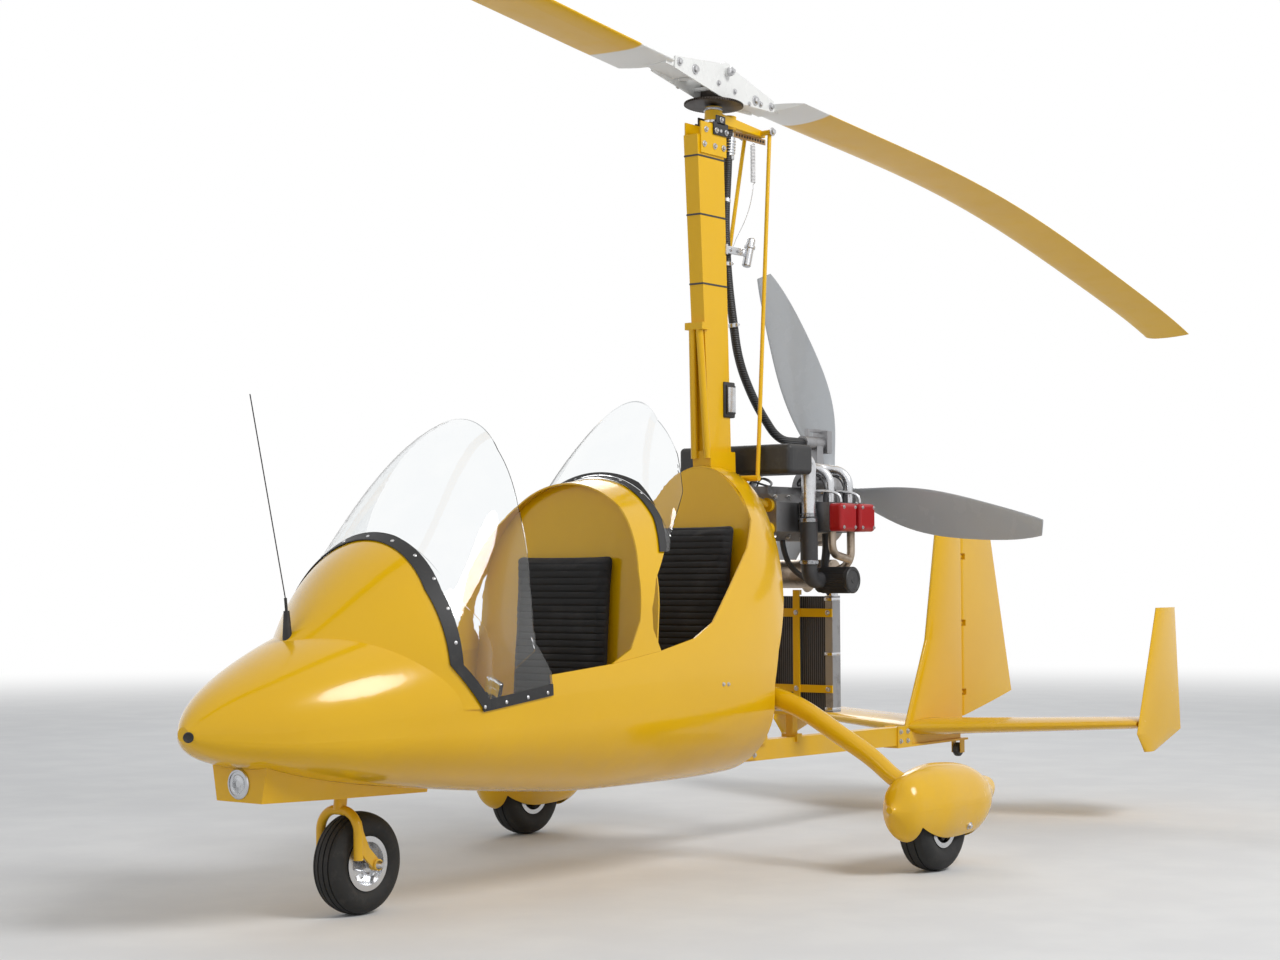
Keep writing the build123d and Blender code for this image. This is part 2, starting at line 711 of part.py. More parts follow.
def make_tyre(r, w, grooves):
    bead, shoulder = RIM_W / 2 - RIM_WALL - SEAM, 0.7 * w / 2
    half = [(bead, RIM_R + SEAM), (bead, RIM_R + 9)]
    wall = [(w / 2, (RIM_R + r) / 2 + 4), (shoulder, r - 7)]
    edges = [
        Edge.make_line((-half[0][0], 0, half[0][1]), (half[0][0], 0, half[0][1])),
        Edge.make_line((half[0][0], 0, half[0][1]), (half[1][0], 0, half[1][1])),
        Edge.make_three_point_arc((half[1][0], 0, half[1][1]), (wall[0][0], 0, wall[0][1]), (wall[1][0], 0, wall[1][1])),
        Edge.make_three_point_arc((wall[1][0], 0, wall[1][1]), (0, 0, r), (-wall[1][0], 0, wall[1][1])),
        Edge.make_three_point_arc((-wall[1][0], 0, wall[1][1]), (-wall[0][0], 0, wall[0][1]), (-half[1][0], 0, half[1][1])),
        Edge.make_line((-half[1][0], 0, half[1][1]), (-half[0][0], 0, half[0][1])),
    ]
    tyre = revolve(Face(Wire(edges)), Axis.X)
    for x in grooves:
        tyre -= rod((x - 2, 0, 0), (x + 2, 0, 0), r + 5) - rod((x - 3, 0, 0), (x + 3, 0, 0), r - 7)
    return tyre


def make_rim():
    """Two-piece wheel: barrel with flanges, web with holes, hub."""
    w, r = RIM_W / 2, RIM_R
    barrel = rod((-w, 0, 0), (w, 0, 0), r) - rod((-w - 1, 0, 0), (w + 1, 0, 0), r - 7)
    for a, b in ((-w, -w + RIM_WALL), (w - RIM_WALL, w)):
        barrel += rod((a, 0, 0), (b, 0, 0), r + 8) - rod((a - 1, 0, 0), (b + 1, 0, 0), r - 7)
    web = rod((-4, 0, 0), (4, 0, 0), r - 6)
    for k in range(5):
        a = math.radians(72 * k)
        y, z = 40 * math.cos(a), 40 * math.sin(a)
        web -= rod((-9, y, z), (9, y, z), 9)
    hub = rod((-w + 2, 0, 0), (w - 2, 0, 0), 22)
    return barrel + web + hub - rod((-w - 5, 0, 0), (w + 5, 0, 0), AXLE_R + AXLE_FIT)


rim = make_rim()
for name, x, y, r, w, grooves in (
    ("nose", 0, NOSE_Y, NOSE_TYRE_R, NOSE_TYRE_W, (-25, -9, 9, 25)),
    ("main_left", WHEEL_X, MAIN_Y, MAIN_TYRE_R, MAIN_TYRE_W, (-14, 14)),
    ("main_right", -WHEEL_X, MAIN_Y, MAIN_TYRE_R, MAIN_TYRE_W, (-14, 14)),
):
    save(Pos(x, y, r) * make_tyre(r, w, grooves), name + "_tyre")
    save(Pos(x, y, r) * rim, name + "_rim")


def make_fork():
    """Inverted-U tube with a stem, and an arm on each leg to the axle behind."""
    frame = pipe([
        (-FORK_X, FORK_Y, FORK_FOOT_Z), (-FORK_X, FORK_Y, FORK_CROWN_Z),
        (FORK_X, FORK_Y, FORK_CROWN_Z), (FORK_X, FORK_Y, FORK_FOOT_Z),
    ], FORK_TUBE_R)
    frame += rod(rod_axis(FORK_CROWN_Z), rod_axis(FORK_CROWN_Z + 33), STEM_R + 4)
    frame += rod(rod_axis(FORK_CROWN_Z), rod_axis(FORK_CROWN_Z + 60 + HEAD_TUBE_L), STEM_R)
    top = FORK_CROWN_Z + 50 + HEAD_TUBE_L
    frame += rod(rod_axis(top), rod_axis(top + 10), STEM_R + 6)
    outline = [
        (FORK_Y + 8, 262), (FORK_Y + 16, 232), (FORK_Y + 38, 188), (NOSE_Y + 8, NOSE_TYRE_R + 13),
        (NOSE_Y - 6, NOSE_TYRE_R - 14), (FORK_Y + 22, 160), (FORK_Y + 6, 178),
    ]
    arm = side_plate(outline, FORK_X - 4, FORK_X + 4)
    arm += rod((FORK_X - 11, NOSE_Y, NOSE_TYRE_R), (FORK_X + 11, NOSE_Y, NOSE_TYRE_R), 16)
    arm -= rod((0, NOSE_Y, NOSE_TYRE_R), (200, NOSE_Y, NOSE_TYRE_R), AXLE_R + AXLE_FIT)
    bore = rod((FORK_X, FORK_Y, FORK_FOOT_Z - 1), (FORK_X, FORK_Y, FORK_FOOT_Z + 30), FORK_TUBE_R - FORK_WALL)
    return frame + both(arm) - both(bore)


save(make_fork(), "nose_fork")
axle = rod((-FORK_X - 14, NOSE_Y, NOSE_TYRE_R), (FORK_X + 14, NOSE_Y, NOSE_TYRE_R), AXLE_R)
for s in (-1, 1):
    face, end = s * (FORK_X + 11 + SEAM), s * (FORK_X + 26)
    axle += rod((face, NOSE_Y, NOSE_TYRE_R), (end, NOSE_Y, NOSE_TYRE_R), 12, 7)
    axle += rod((s * (RIM_W / 2 + 6), NOSE_Y, NOSE_TYRE_R), (s * (FORK_X - 11 - SEAM), NOSE_Y, NOSE_TYRE_R), 13)
save(axle, "nose_axle")
head = rod(rod_axis(FORK_CROWN_Z + 48), rod_axis(FORK_CROWN_Z + 48 + HEAD_TUBE_L), HEAD_TUBE_R)
head -= rod(rod_axis(FORK_CROWN_Z), rod_axis(FORK_CROWN_Z + 300), STEM_R + AXLE_FIT)
save(head, "steering_head")
print("gear done")


# Tail: keel bracket, stabiliser, fin, tip fins, rudder, tail wheel
def stab_half(grow):
    rings = []
    for x, chord in ((0.0, STAB_CHORD), (STAB_HALF + min(0.0, grow), STAB_TIP_CHORD)):
        y = STAB_Y + x * math.tan(math.radians(STAB_SWEEP)) - grow
        z = STAB_Z + x * math.tan(math.radians(STAB_DIHEDRAL))
        thick = STAB_T * (1 - 0.35 * x / STAB_HALF) + 2 * grow
        rings.append(wing_ring((x, y, z), (0, 1, 0), (0, 0, 1), chord + 2 * grow, thick, 0.32 * chord, 5 + 2 * grow))
    return Solid.make_loft(rings, ruled=True)


def stab_solid(grow=0.0):
    return both(stab_half(grow))


def fin_loft(rows, thick, nose, end):
    """Upright aerofoil. Columns: z, front y, rear y."""
    rings = [
        wing_ring((0, y0, z), (0, 1, 0), (1, 0, 0), y1 - y0, thick, nose(y1 - y0), end)
        for z, y0, y1 in rows
    ]
    return Solid.make_loft(rings, ruled=True)


NOSE_R = FIN_END_T / 2
FIN_END_Y = HINGE_Y - NOSE_R - HINGE_GAP
RUDDER_NOSE = HINGE_Y - NOSE_R


def make_fin():
    rows = [(STAB_Z, 1126, FIN_END_Y), (659, 1288, FIN_END_Y), (1120, 1385, FIN_END_Y)]
    body = fin_loft(rows, FIN_T, lambda c: 0.45 * c, FIN_END_T)
    body &= side_cut([(1000, STAB_Z), (FIN_END_Y, STAB_Z), (FIN_END_Y, 1084), (1385, 1106), (1000, 1106)])
    for z in HINGE_ZS:
        arm = box((-6, 6), (FIN_END_Y - 4, HINGE_Y), (z - 4, z + 4))
        arm += rod((0, HINGE_Y, z - 4), (0, HINGE_Y, z + 4), 8)
        body += arm - rod((0, HINGE_Y, z - 9), (0, HINGE_Y, z + 9), HINGE_PIN_R + AXLE_FIT)
    return body - stab_solid(SEAM)


def make_rudder():
    rows = [(340, RUDDER_NOSE, 2002), (1100, RUDDER_NOSE, 1799)]
    body = fin_loft(rows, FIN_END_T, lambda c: NOSE_R, 4)
    body &= side_cut([(RUDDER_NOSE, 356), (1976, 438), (2010, 438), (1813, 1047), (1800, 1060), (RUDDER_NOSE, 1084)])
    for z in HINGE_ZS:
        body -= box((-40, 40), (RUDDER_NOSE - 1, HINGE_Y + 14), (z - 12, z + 12))
        body += rod((0, HINGE_Y, z - 18), (0, HINGE_Y, z + 18), HINGE_PIN_R)
    return body


save(stab_solid() - stab_solid(-SKIN_T), "stabiliser")
save(make_fin(), "fin")
save(make_rudder(), "rudder")
tip_rows = [(255, 1500, 1585), (323, 1434, 1814), (783, 1613, 1775)]
tip = fin_loft(tip_rows, TIP_FIN_T, lambda c: 0.35 * c, 4)
save(both(Pos(STAB_HALF + TIP_FIN_T / 2 + SEAM, 0, 0) * tip), "tip_fins")


def make_tail_bracket():
    half = KEEL_W / 2 + SEAM
    plate_top = KEEL_Z1 - SEAM
    body = both(box((half, half + 6), (1030, 1130), (plate_top - 8, KEEL_Z1 + KEEL_H + 4)))
    body += box((-half - 6, half + 6), (1030, 1560), (plate_top - 8, plate_top))
    body += box((-20, 20), (1150, 1520), (plate_top - 4, 345))
    body -= stab_solid(SEAM) + keel_solid(SEAM, KEEL_Y0, KEEL_Y1 + 1)
    body -= box((-40, 40), (1100, 1600), (STAB_Z - 8, 400))
    side = TAIL_WHEEL_W / 2 + 5
    body += both(box((side, side + 3), (TAIL_WHEEL_Y - 16, TAIL_WHEEL_Y + 16), (TAIL_WHEEL_Z - 12, plate_top - 4)))
    pin = rod((-side - 3, TAIL_WHEEL_Y, TAIL_WHEEL_Z), (side + 3, TAIL_WHEEL_Y, TAIL_WHEEL_Z), TAIL_PIN_R)
    return body + pin


save(make_tail_bracket(), "tail_bracket")
tail_wheel = rod((-TAIL_WHEEL_W / 2, 0, 0), (TAIL_WHEEL_W / 2, 0, 0), TAIL_WHEEL_R)
tail_wheel = fillet(tail_wheel.edges(), 7)
tail_wheel -= rod((-20, 0, 0), (20, 0, 0), TAIL_PIN_R + AXLE_FIT)
save(Pos(0, TAIL_WHEEL_Y, TAIL_WHEEL_Z) * tail_wheel, "tail_wheel")
print("tail done")


# Rotor head on the mast, spindle, hub bar and blades
HEAD = Pos(0, HUB_STATION, HUB_Z) * Rot(X=-ROTOR_TILT)
TURNED = HEAD * Rot(Z=ROTOR_TURN)
RING_LOW = -RING_DROP
HOUSING_TOP = RING_LOW - 6
HOUSING_LOW = HOUSING_TOP - 62
HOUSING_R = 30.0
ARM_Y1 = 285.0


def make_rotor_head():
    """Gimbal block, bearing housing, torque arm and pinion housing."""
    body = HEAD * rod((0, 0, HOUSING_LOW), (0, 0, HOUSING_TOP), HOUSING_R)
    arm = loft([
        Plane(origin=(0, 12, HOUSING_LOW + 24), z_dir=(0, 1, 0), x_dir=(1, 0, 0)) * Rectangle(58, 34),
        Plane(origin=(0, ARM_Y1, HOUSING_LOW + 30), z_dir=(0, 1, 0), x_dir=(1, 0, 0)) * Rectangle(36, 20),
    ])
    body += HEAD * arm
    cross = rod((-62, ARM_Y1 - 24, HOUSING_LOW + 30), (62, ARM_Y1 - 24, HOUSING_LOW + 30), 9)
    body += HEAD * cross
    body += HEAD * rod((0, 92, HOUSING_LOW + 6), (0, 92, RING_LOW - 16), 24)
    gimbal_top = HUB_Z + HOUSING_LOW + 12
    body += box((-24, 24), (HUB_STATION - 34, HUB_STATION + 26), (MAST_TOP_Z + SEAM, gimbal_top))
    body += both(box((MAST_W_TOP / 2 + SEAM, MAST_W_TOP / 2 + 6), (-205, -60), (MAST_TOP_Z - 60, MAST_TOP_Z + 45)))
    body += rod((-34, HUB_STATION - 22, MAST_TOP_Z + 26), (34, HUB_STATION - 22, MAST_TOP_Z + 26), 9)
    return body - HEAD * rod((0, 0, HOUSING_LOW + 14), (0, 0, 0), SPINDLE_R + AXLE_FIT)


def make_spindle():
    ring = rod((0, 0, RING_LOW), (0, 0, RING_LOW + RING_T), RING_R)
    ring += rod((0, 0, HOUSING_LOW + 16), (0, 0, RING_LOW + 1), SPINDLE_R)
    tower = side_plate([(-34, RING_LOW + RING_T - 1), (34, RING_LOW + RING_T - 1), (22, -20), (16, 16), (-16, 16), (-22, -20)], -TOWER_HALF, TOWER_HALF)
    tower -= rod((-50, 0, 0), (50, 0, 0), TEETER_BOLT_R + AXLE_FIT)
    return TURNED * (ring + tower)


def make_hub_bar():
    low, apex = -UNDERSLING - 39, 32
    outline = [
        (-HUB_PLATE_HALF, -64), (-40, low), (40, low), (HUB_PLATE_HALF, -64), (HUB_PLATE_HALF, -25),
        (34, 22), (13, apex), (-13, apex), (-34, 22), (-HUB_PLATE_HALF, -25),
    ]
    body = both(side_plate(outline, HUB_PLATE_X, HUB_PLATE_X + HUB_PLATE_T))
    body += rod((-58, 0, 0), (58, 0, 0), TEETER_BOLT_R)
    for s in (-1, 1):
        body += rod((s * (HUB_PLATE_X + HUB_PLATE_T - 1), 0, 0), (s * 57, 0, 0), 14)
        body += rod((-HUB_PLATE_X - 1, s * 58, -66), (HUB_PLATE_X + 1, s * 58, -66), 7)
        body += rod((-HUB_PLATE_X - 1, s * 150, -52), (HUB_PLATE_X + 1, s * 150, -52), 7)
    return TURNED * body


# Blade. Columns: distance from the hub, rise over the hub line.
BLADE = [(BLADE_ROOT_S, 8), (1000, 16), (1700, 18), (2400, -22), (3100, -92), (3600, -150), (ROTOR_R, -225)]
BLADE_STATIONS = 7


def make_blade():
    rows = stations(BLADE, BLADE_STATIONS)
    rings = [
        wing_ring((-0.25 * BLADE_CHORD, s, up - UNDERSLING), (1, 0, 0), (0, 0, 1), BLADE_CHORD, BLADE_T, 0.3 * BLADE_CHORD, 2)
        for s, up in rows
    ]
    body = Solid.make_loft(rings)
    block = box((-HUB_PLATE_X + SEAM, HUB_PLATE_X - SEAM), (190, BLADE_ROOT_S + 30), (-UNDERSLING - 8, -UNDERSLING + 14))
    return body + block


save(make_rotor_head(), "rotor_head")
save(make_spindle(), "rotor_spindle")
save(make_hub_bar(), "hub_bar")
blade = make_blade()
save(Compound(children=[TURNED * blade, TURNED * Rot(Z=180) * blade]), "rotor_blades")
print("rotor done")


# Controls and drive shaft behind the mast
def make_rods():
    rods = None
    for s in (-1, 1):
        top = HEAD * Pos(s * 52, ARM_Y1 - 24, HOUSING_LOW + 20)
        p = top.position
        low = (s * 122, -16, 1236)
        piece = rod((p.X, p.Y, p.Z), low, 7)
        rods = piece if rods is None else rods + piece
    rods += rod((-128, -16, 1236), (128, -16, 1236), 10)
    return rods - make_rotor_head_gap()


def make_rotor_head_gap():
    """Room round the torque arm's cross pin."""
    return HEAD * rod((-70, ARM_Y1 - 24, HOUSING_LOW + 30), (70, ARM_Y1 - 24, HOUSING_LOW + 30), 9 + SEAM)


save(make_rods(), "control_rods")
pinion = HEAD * Pos(0, 92, HOUSING_LOW + 6)
PINION = pinion.position
DRIVE = [
    (0, PINION.Y - 1, PINION.Z - SEAM), (0, PINION.Y - 8, 2290), (0, -24, 2110), (0, -8, 1910),
    (0, 50, 1640), (0, 150, 1500), (0, 290, 1380), (0, 438, 1380),
]
save(pipe(DRIVE, HOSE_R), "drive_shaft")

# Engine
def make_block():
    profile = [(-CASE_HALF, 1060), (-CASE_HALF, 1160), (-70, CASE_Z1), (70, CASE_Z1), (CASE_HALF, 1160), (CASE_HALF, 1060), (60, CASE_Z0), (-60, CASE_Z0)]
    face = Face(Wire.make_polygon([(x, CASE_Y0, z) for x, z in profile], close=True))
    body = extrude(face, amount=CASE_Y1 - CASE_Y0, dir=(0, 1, 0))
    body += box((-45, 45), (CASE_Y0 + 40, CASE_Y1 - 60), (CASE_Z1 - 1, CASE_Z1 + 26))
    return body


def make_cylinders():
    """Finned barrels and heads on both sides."""
    body = None
    pitch = (HEAD_IN - CASE_HALF) / (FINS + 1)
    for y in CYLINDER_YS:
        one = rod((CASE_HALF + SEAM, y, CRANK_Z), (HEAD_IN + 1, y, CRANK_Z), BARREL_R)
        for k in range(1, FINS + 1):
            x = CASE_HALF + pitch * k
            one += box((x - 1.5, x + 1.5), (y - 54, y + 54), (CRANK_Z - 52, CRANK_Z + 52))
        one += box((HEAD_IN, HEAD_HALF), (y - 55, y + 55), (CRANK_Z - 50, CRANK_Z + 50))
        body = one if body is None else body + one
    return both(body)


def make_covers():
    body = None
    for y in CYLINDER_YS:
        one = box((HEAD_HALF + SEAM, COVER_HALF), (y - 50, y + 50), (CRANK_Z - 50, CRANK_Z + 46))
        one = fillet(one.edges().filter_by(Axis.X) + one.faces().sort_by(Axis.X)[-1].edges(), 14)
        body = one if body is None else body + one
    return both(body)


save(make_block(), "engine_block")
save(make_cylinders(), "cylinders")
save(make_covers(), "rocker_covers")


def gear_profile(grow, y0, y1):
    """Housing round the crank line and the propeller shaft."""
    low, high = 96 + grow, 84 + grow
    body = rod((0, y0, CRANK_Z), (0, y1, CRANK_Z), low) + rod((0, y0, PROP_Z), (0, y1, PROP_Z), high)
    web = Face(Wire.make_polygon([(-low + 1, y0, CRANK_Z), (low - 1, y0, CRANK_Z), (high - 1, y0, PROP_Z), (-high + 1, y0, PROP_Z)], close=True))
    return body + extrude(web, amount=y1 - y0, dir=(0, 1, 0))


gearbox = gear_profile(0, CASE_Y1 + SEAM, 572)
gearbox += rod((0, 570, PROP_Z), (0, 597, PROP_Z), 46)
gearbox -= rod((0, 555, PROP_Z), (0, 650, PROP_Z), PROP_SHAFT_R + AXLE_FIT)
save(gearbox, "gearbox")

drive = rod((0, 441, 1380), (0, 560, 1380), 24)
drive += box((-22, 22), (505, 545), (1298, 1372)) - rod((0, 400, PROP_Z), (0, 700, PROP_Z), 84 + SEAM)
drive += box((-30, 30), (560, 590), (1345, 1425)) + box((-8, 8), (470, 600), (1420, 1430))
drive += box((-8, 8), (470, 480), (1395, 1425))
save(drive, "prerotator_drive")

# Propeller. Columns: radius, chord, twist in degrees, thickness, middle offset.
PROP = [(50, 50, 42, 26, 0), (150, 92, 34, 20, 4), (270, 148, 27, 16, 6), (400, 170, 22, 14, 2), (560, 152, 18, 11, -6), (720, 112, 15, 8, -16), (PROP_R, 56, 12, 5, -30)]


def prop_blade():
    rings = []
    for r, chord, twist, thick, off in PROP:
        c, s = math.cos(math.radians(twist)), math.sin(math.radians(twist))
        lead = off - chord / 2
        rings.append(wing_ring((lead * c, lead * s, r), (c, s, 0), (-s, c, 0), chord, thick, 0.35 * chord, 1.5))
    return Solid.make_loft(rings)


hub = rod((0, 556, PROP_Z), (0, 604, PROP_Z), PROP_SHAFT_R)
hub += rod((0, 603, PROP_Z), (0, 614, PROP_Z), 62) + rod((0, 613, PROP_Z), (0, 672, PROP_Z), 56)
hub += rod((0, 671, PROP_Z), (0, 682, PROP_Z), 30)
save(hub, "prop_hub")
one_blade = prop_blade() - rod((0, -60, 0), (0, 60, 0), 56 + SEAM)
prop = None
for k in range(PROP_BLADES):
    spin = 90 - PROP_FIRST_DEG + 360 / PROP_BLADES * k
    placed = Pos(0, PROP_Y, PROP_Z) * Rot(Y=spin) * one_blade
    prop = placed if prop is None else prop + placed
save(prop, "prop_blades")
print("engine done")

# Intake, exhaust and cooling
AIRBOX_REAR = 160.0
airbox = soft_box((-230, 230), (18, AIRBOX_REAR), (1250, 1350), 16)
save(airbox, "airbox")
INTAKE_X = 176.0
INTAKE_Y = 212.0
down = pipe([(INTAKE_X, AIRBOX_REAR + SEAM, 1300), (INTAKE_X, INTAKE_Y, 1300), (INTAKE_X, INTAKE_Y, 1240)], 25)
down += rod((INTAKE_X, INTAKE_Y, 1241), (INTAKE_X, INTAKE_Y, 1110), 25)
for x in (-105, 105):
    s = math.copysign(1, x)
    for y in CYLINDER_YS:
        down += pipe([(x, 232, 1285), (x, y - 34, 1285), (s * 204, y, 1268), (s * 204, y, CRANK_Z + 50 + SEAM)], 16)
    down += rod((x, AIRBOX_REAR + SEAM, 1285), (x, 240, 1285), 27)
save(down, "intake_pipes")
sleeve = rod((INTAKE_X, INTAKE_Y, 1110 - SEAM), (INTAKE_X, INTAKE_Y, 946), 30)
sleeve += pipe([(INTAKE_X, INTAKE_Y, 978), (INTAKE_X, INTAKE_Y, 894), (INTAKE_X, 302, 894)], 27)
sleeve += rod((150, 318, 894), (285, 318, 894), 43)
save(sleeve, "air_filter")
muffler = rod((-130, 440, 915), (130, 440, 915), 50) - rod((-127, 440, 915), (127, 440, 915), 47)
for s in (-1, 1):
    muffler += pipe([(s * 212, 421, CRANK_Z - 50 - SEAM), (s * 212, 421, 950), (s * 120, 432, 915)], 14)
    muffler += pipe([(s * 212, 301, CRANK_Z - 50 - SEAM), (s * 212, 301, 985), (s * 206, 415, 965)], 14)
muffler += pipe([(-60, 440, 900), (-60, 525, 900), (-60, 570, 866)], 21)
save(muffler, "exhaust")

RAD_Y = 325.0
RAD_T = 50.0
RAD_Z0 = 443.0
RAD_Z1 = 838.0
core = box((-165, 165), (RAD_Y + 6, RAD_Y + RAD_T - 6), (RAD_Z0, RAD_Z1))
tanks = both(box((165 + SEAM, 195), (RAD_Y, RAD_Y + RAD_T), (RAD_Z0 - 2, RAD_Z1 + 2)))
save(core, "radiator_core")
save(tanks, "radiator_tanks")
frame = None
for z0, z1 in ((507, 533), (767, 796)):
    strap = box((-196, 196), (RAD_Y - 6, RAD_Y - SEAM), (z0, z1))
    frame = strap if frame is None else frame + strap
TRAY_Z = RAD_Z0 - 15
frame += both(box((40, 66), (RAD_Y - 11, RAD_Y - 6), (TRAY_Z, 860)))
frame += box((-66, 66), (RAD_Y - 11, RAD_Y + RAD_T + 8), (TRAY_Z, TRAY_Z + 11))
frame += box((-14, 14), (RAD_Y + 22, RAD_Y + 52), (345, TRAY_Z + 1))
frame += box((-33, 33), (RAD_Y + 22, RAD_Y + 52), (332, 360))
frame -= keel_solid(SEAM)
frame += both(box((40, 66), (RAD_Y - 6, RAD_Y + 5.7), (RAD_Z1 + 5, 860)))
save(frame, "radiator_frame")


def make_engine_mount():
    """Clamps round the mast, tubes to the crankcase and struts to the keel."""
    body = None
    for z in (985.0, 1185.0):
        y0, y1 = mast_line(z, True) - 10, mast_line(z, False) + 14
        clamp = box((-38, 38), (y0, y1), (z, z + 38))
        body = clamp if body is None else body + clamp
        for s in (-1, 1):
            end = (s * 74, CASE_Y0 - 8, 1068 if z < 1100 else 1150)
            body += rod((s * 26, y1 - 8, z + 19), end, 12)
            body += rod((end[0], CASE_Y0 - 16, end[2]), (end[0], CASE_Y0 - SEAM, end[2]), 24)
    for s in (-1, 1):
        strut = [(s * 74, CASE_Y0 - 20, 1068), (s * 70, CASE_Y0 - 20, 1010), (s * 62, 140, 900)]
        body += pipe(strut + [(s * 30, 150, 600), (s * 23, 130, 356)], 12)
    lug = box((28, 38), (-30, -2), (1215, 1251)) - rod((0, -16, 1236), (60, -16, 1236), 10 + SEAM)
    body += both(lug)
    body += box((-37, 37), (104, 158), (338, 366))
    body -= keel_solid(SEAM)
    body -= mast_solid(SEAM, 900, 1300)
    return body


save(make_engine_mount(), "engine_mount")

# Whip antenna on the nose
antenna = rod((0, -2032, 740), (0, -2036, 826), 14, 8)
antenna += rod((0, -2036, 824), (0, -2040, 860), 4) + rod((0, -2040, 858), (0, -2167, 1391), 1.6)
save(antenna - pod_loft(-SEAM) - arch_loft(HOOD, -SEAM), "antenna")
print("all done")
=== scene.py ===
# Two-seat gyrocopter, dressed on its solids: paint and metal finishes, ribbed
# seats, and the small fittings of the rotor head, mast, engine and wheels.
# Metres, +X to the port side, +Y aft, +Z up.

import math

import bpy
from mathutils import Matrix, Vector


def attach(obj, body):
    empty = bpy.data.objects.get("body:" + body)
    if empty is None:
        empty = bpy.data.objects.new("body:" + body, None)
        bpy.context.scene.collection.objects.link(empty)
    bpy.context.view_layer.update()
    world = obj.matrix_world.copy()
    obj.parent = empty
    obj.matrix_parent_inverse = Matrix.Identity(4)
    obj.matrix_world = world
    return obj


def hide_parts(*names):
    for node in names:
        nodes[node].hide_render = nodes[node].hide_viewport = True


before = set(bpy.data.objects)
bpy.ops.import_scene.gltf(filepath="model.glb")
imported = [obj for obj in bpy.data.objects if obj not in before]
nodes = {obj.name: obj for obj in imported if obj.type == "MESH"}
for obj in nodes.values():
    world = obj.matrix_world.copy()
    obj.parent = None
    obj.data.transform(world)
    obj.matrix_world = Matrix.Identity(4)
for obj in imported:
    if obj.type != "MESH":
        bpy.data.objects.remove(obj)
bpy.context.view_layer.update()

# Colours, linear
YELLOW = (0.80, 0.46, 0.001, 1)
YELLOW_SHADE = (0.70, 0.38, 0.001, 1)
DUST = (0.42, 0.36, 0.27, 1)
WHITE = (0.80, 0.80, 0.78, 1)
PROP_GREY = (0.46, 0.48, 0.50, 1)
BLACK = (0.012, 0.012, 0.013, 1)
SOFT_BLACK = (0.03, 0.03, 0.032, 1)
SILVER = (0.62, 0.63, 0.65, 1)
CAST = (0.34, 0.34, 0.35, 1)
RED = (0.40, 0.006, 0.010, 1)
BRONZE = (0.42, 0.26, 0.12, 1)


# Shader nodes
def feed(tree, value, socket):
    """Link an output into a socket, or set the socket to a plain value."""
    if isinstance(value, bpy.types.NodeSocket):
        tree.links.new(value, socket)
    else:
        socket.default_value = value


def noise(tree, coord, scale, detail=3, rough=0.55):
    node = tree.nodes.new("ShaderNodeTexNoise")
    node.inputs["Detail"].default_value = detail
    node.inputs["Roughness"].default_value = rough
    feed(tree, scale, node.inputs["Scale"])
    feed(tree, coord, node.inputs["Vector"])
    return node.outputs["Fac"]


def ranged(tree, value, low, high, to_low=0.0, to_high=1.0):
    node = tree.nodes.new("ShaderNodeMapRange")
    node.interpolation_type = "SMOOTHSTEP"
    for socket, v in (("From Min", low), ("From Max", high), ("To Min", to_low), ("To Max", to_high)):
        node.inputs[socket].default_value = v
    feed(tree, value, node.inputs["Value"])
    return node.outputs["Result"]


def math_node(tree, op, a, b):
    node = tree.nodes.new("ShaderNodeMath")
    node.operation = op
    feed(tree, a, node.inputs[0])
    feed(tree, b, node.inputs[1])
    return node.outputs[0]


def times(tree, a, b):
    return math_node(tree, "MULTIPLY", a, b)


def plus(tree, a, b):
    return math_node(tree, "ADD", a, b)


def blend_colour(tree, fac, a, b):
    node = tree.nodes.new("ShaderNodeMix")
    node.data_type = "RGBA"
    for index, v in ((0, fac), (6, a), (7, b)):
        feed(tree, v, node.inputs[index])
    return node.outputs[2]


def blend_shaders(tree, fac, first, second):
    node = tree.nodes.new("ShaderNodeMixShader")
    feed(tree, fac, node.inputs["Fac"])
    feed(tree, first.outputs[0], node.inputs[1])
    feed(tree, second.outputs[0], node.inputs[2])
    return node.outputs[0]


def object_coord(tree):
    return tree.nodes.new("ShaderNodeTexCoord").outputs["Object"]


def split(tree, vector):
    node = tree.nodes.new("ShaderNodeSeparateXYZ")
    feed(tree, vector, node.inputs[0])
    return node.outputs


# Camera and lamps
def aim_camera():
    """The photo's camera: a turn about Z, then a pitch and a roll, in radians."""
    turn, pitch, roll = 0.653942, 0.0417866, -0.0043732
    focal_pixels, picture_width, sensor_width = 2201.2, 1280, 36
    ahead = Vector((-math.sin(turn) * math.cos(pitch), math.cos(turn) * math.cos(pitch), math.sin(pitch)))
    level = Vector((math.cos(turn), math.sin(turn), 0))
    upward = level.cross(ahead)
    right = level * math.cos(roll) + upward * math.sin(roll)
    up = upward * math.cos(roll) - level * math.sin(roll)
    bpy.ops.object.camera_add(location=(4.2753, -6.0021, 0.9243))
    cam = bpy.context.object
    cam.name = "view"
    cam.data.sensor_width = sensor_width
    cam.data.lens = sensor_width * focal_pixels / picture_width
    cam.data.clip_end = 300
    pose = Matrix((right, up, -ahead)).transposed().to_4x4()
    pose.translation = cam.location
    cam.matrix_world = pose
    bpy.context.scene.camera = cam


def soft_lamp(name, spot, target, size, power):
    bpy.ops.object.light_add(type="AREA", location=spot)
    lamp = bpy.context.object
    lamp.name = name
    lamp.data.shape = "DISK"
    lamp.data.size = size
    lamp.data.energy = power
    look = Vector(target) - Vector(spot)
    lamp.rotation_euler = look.to_track_quat("-Z", "Y").to_euler()


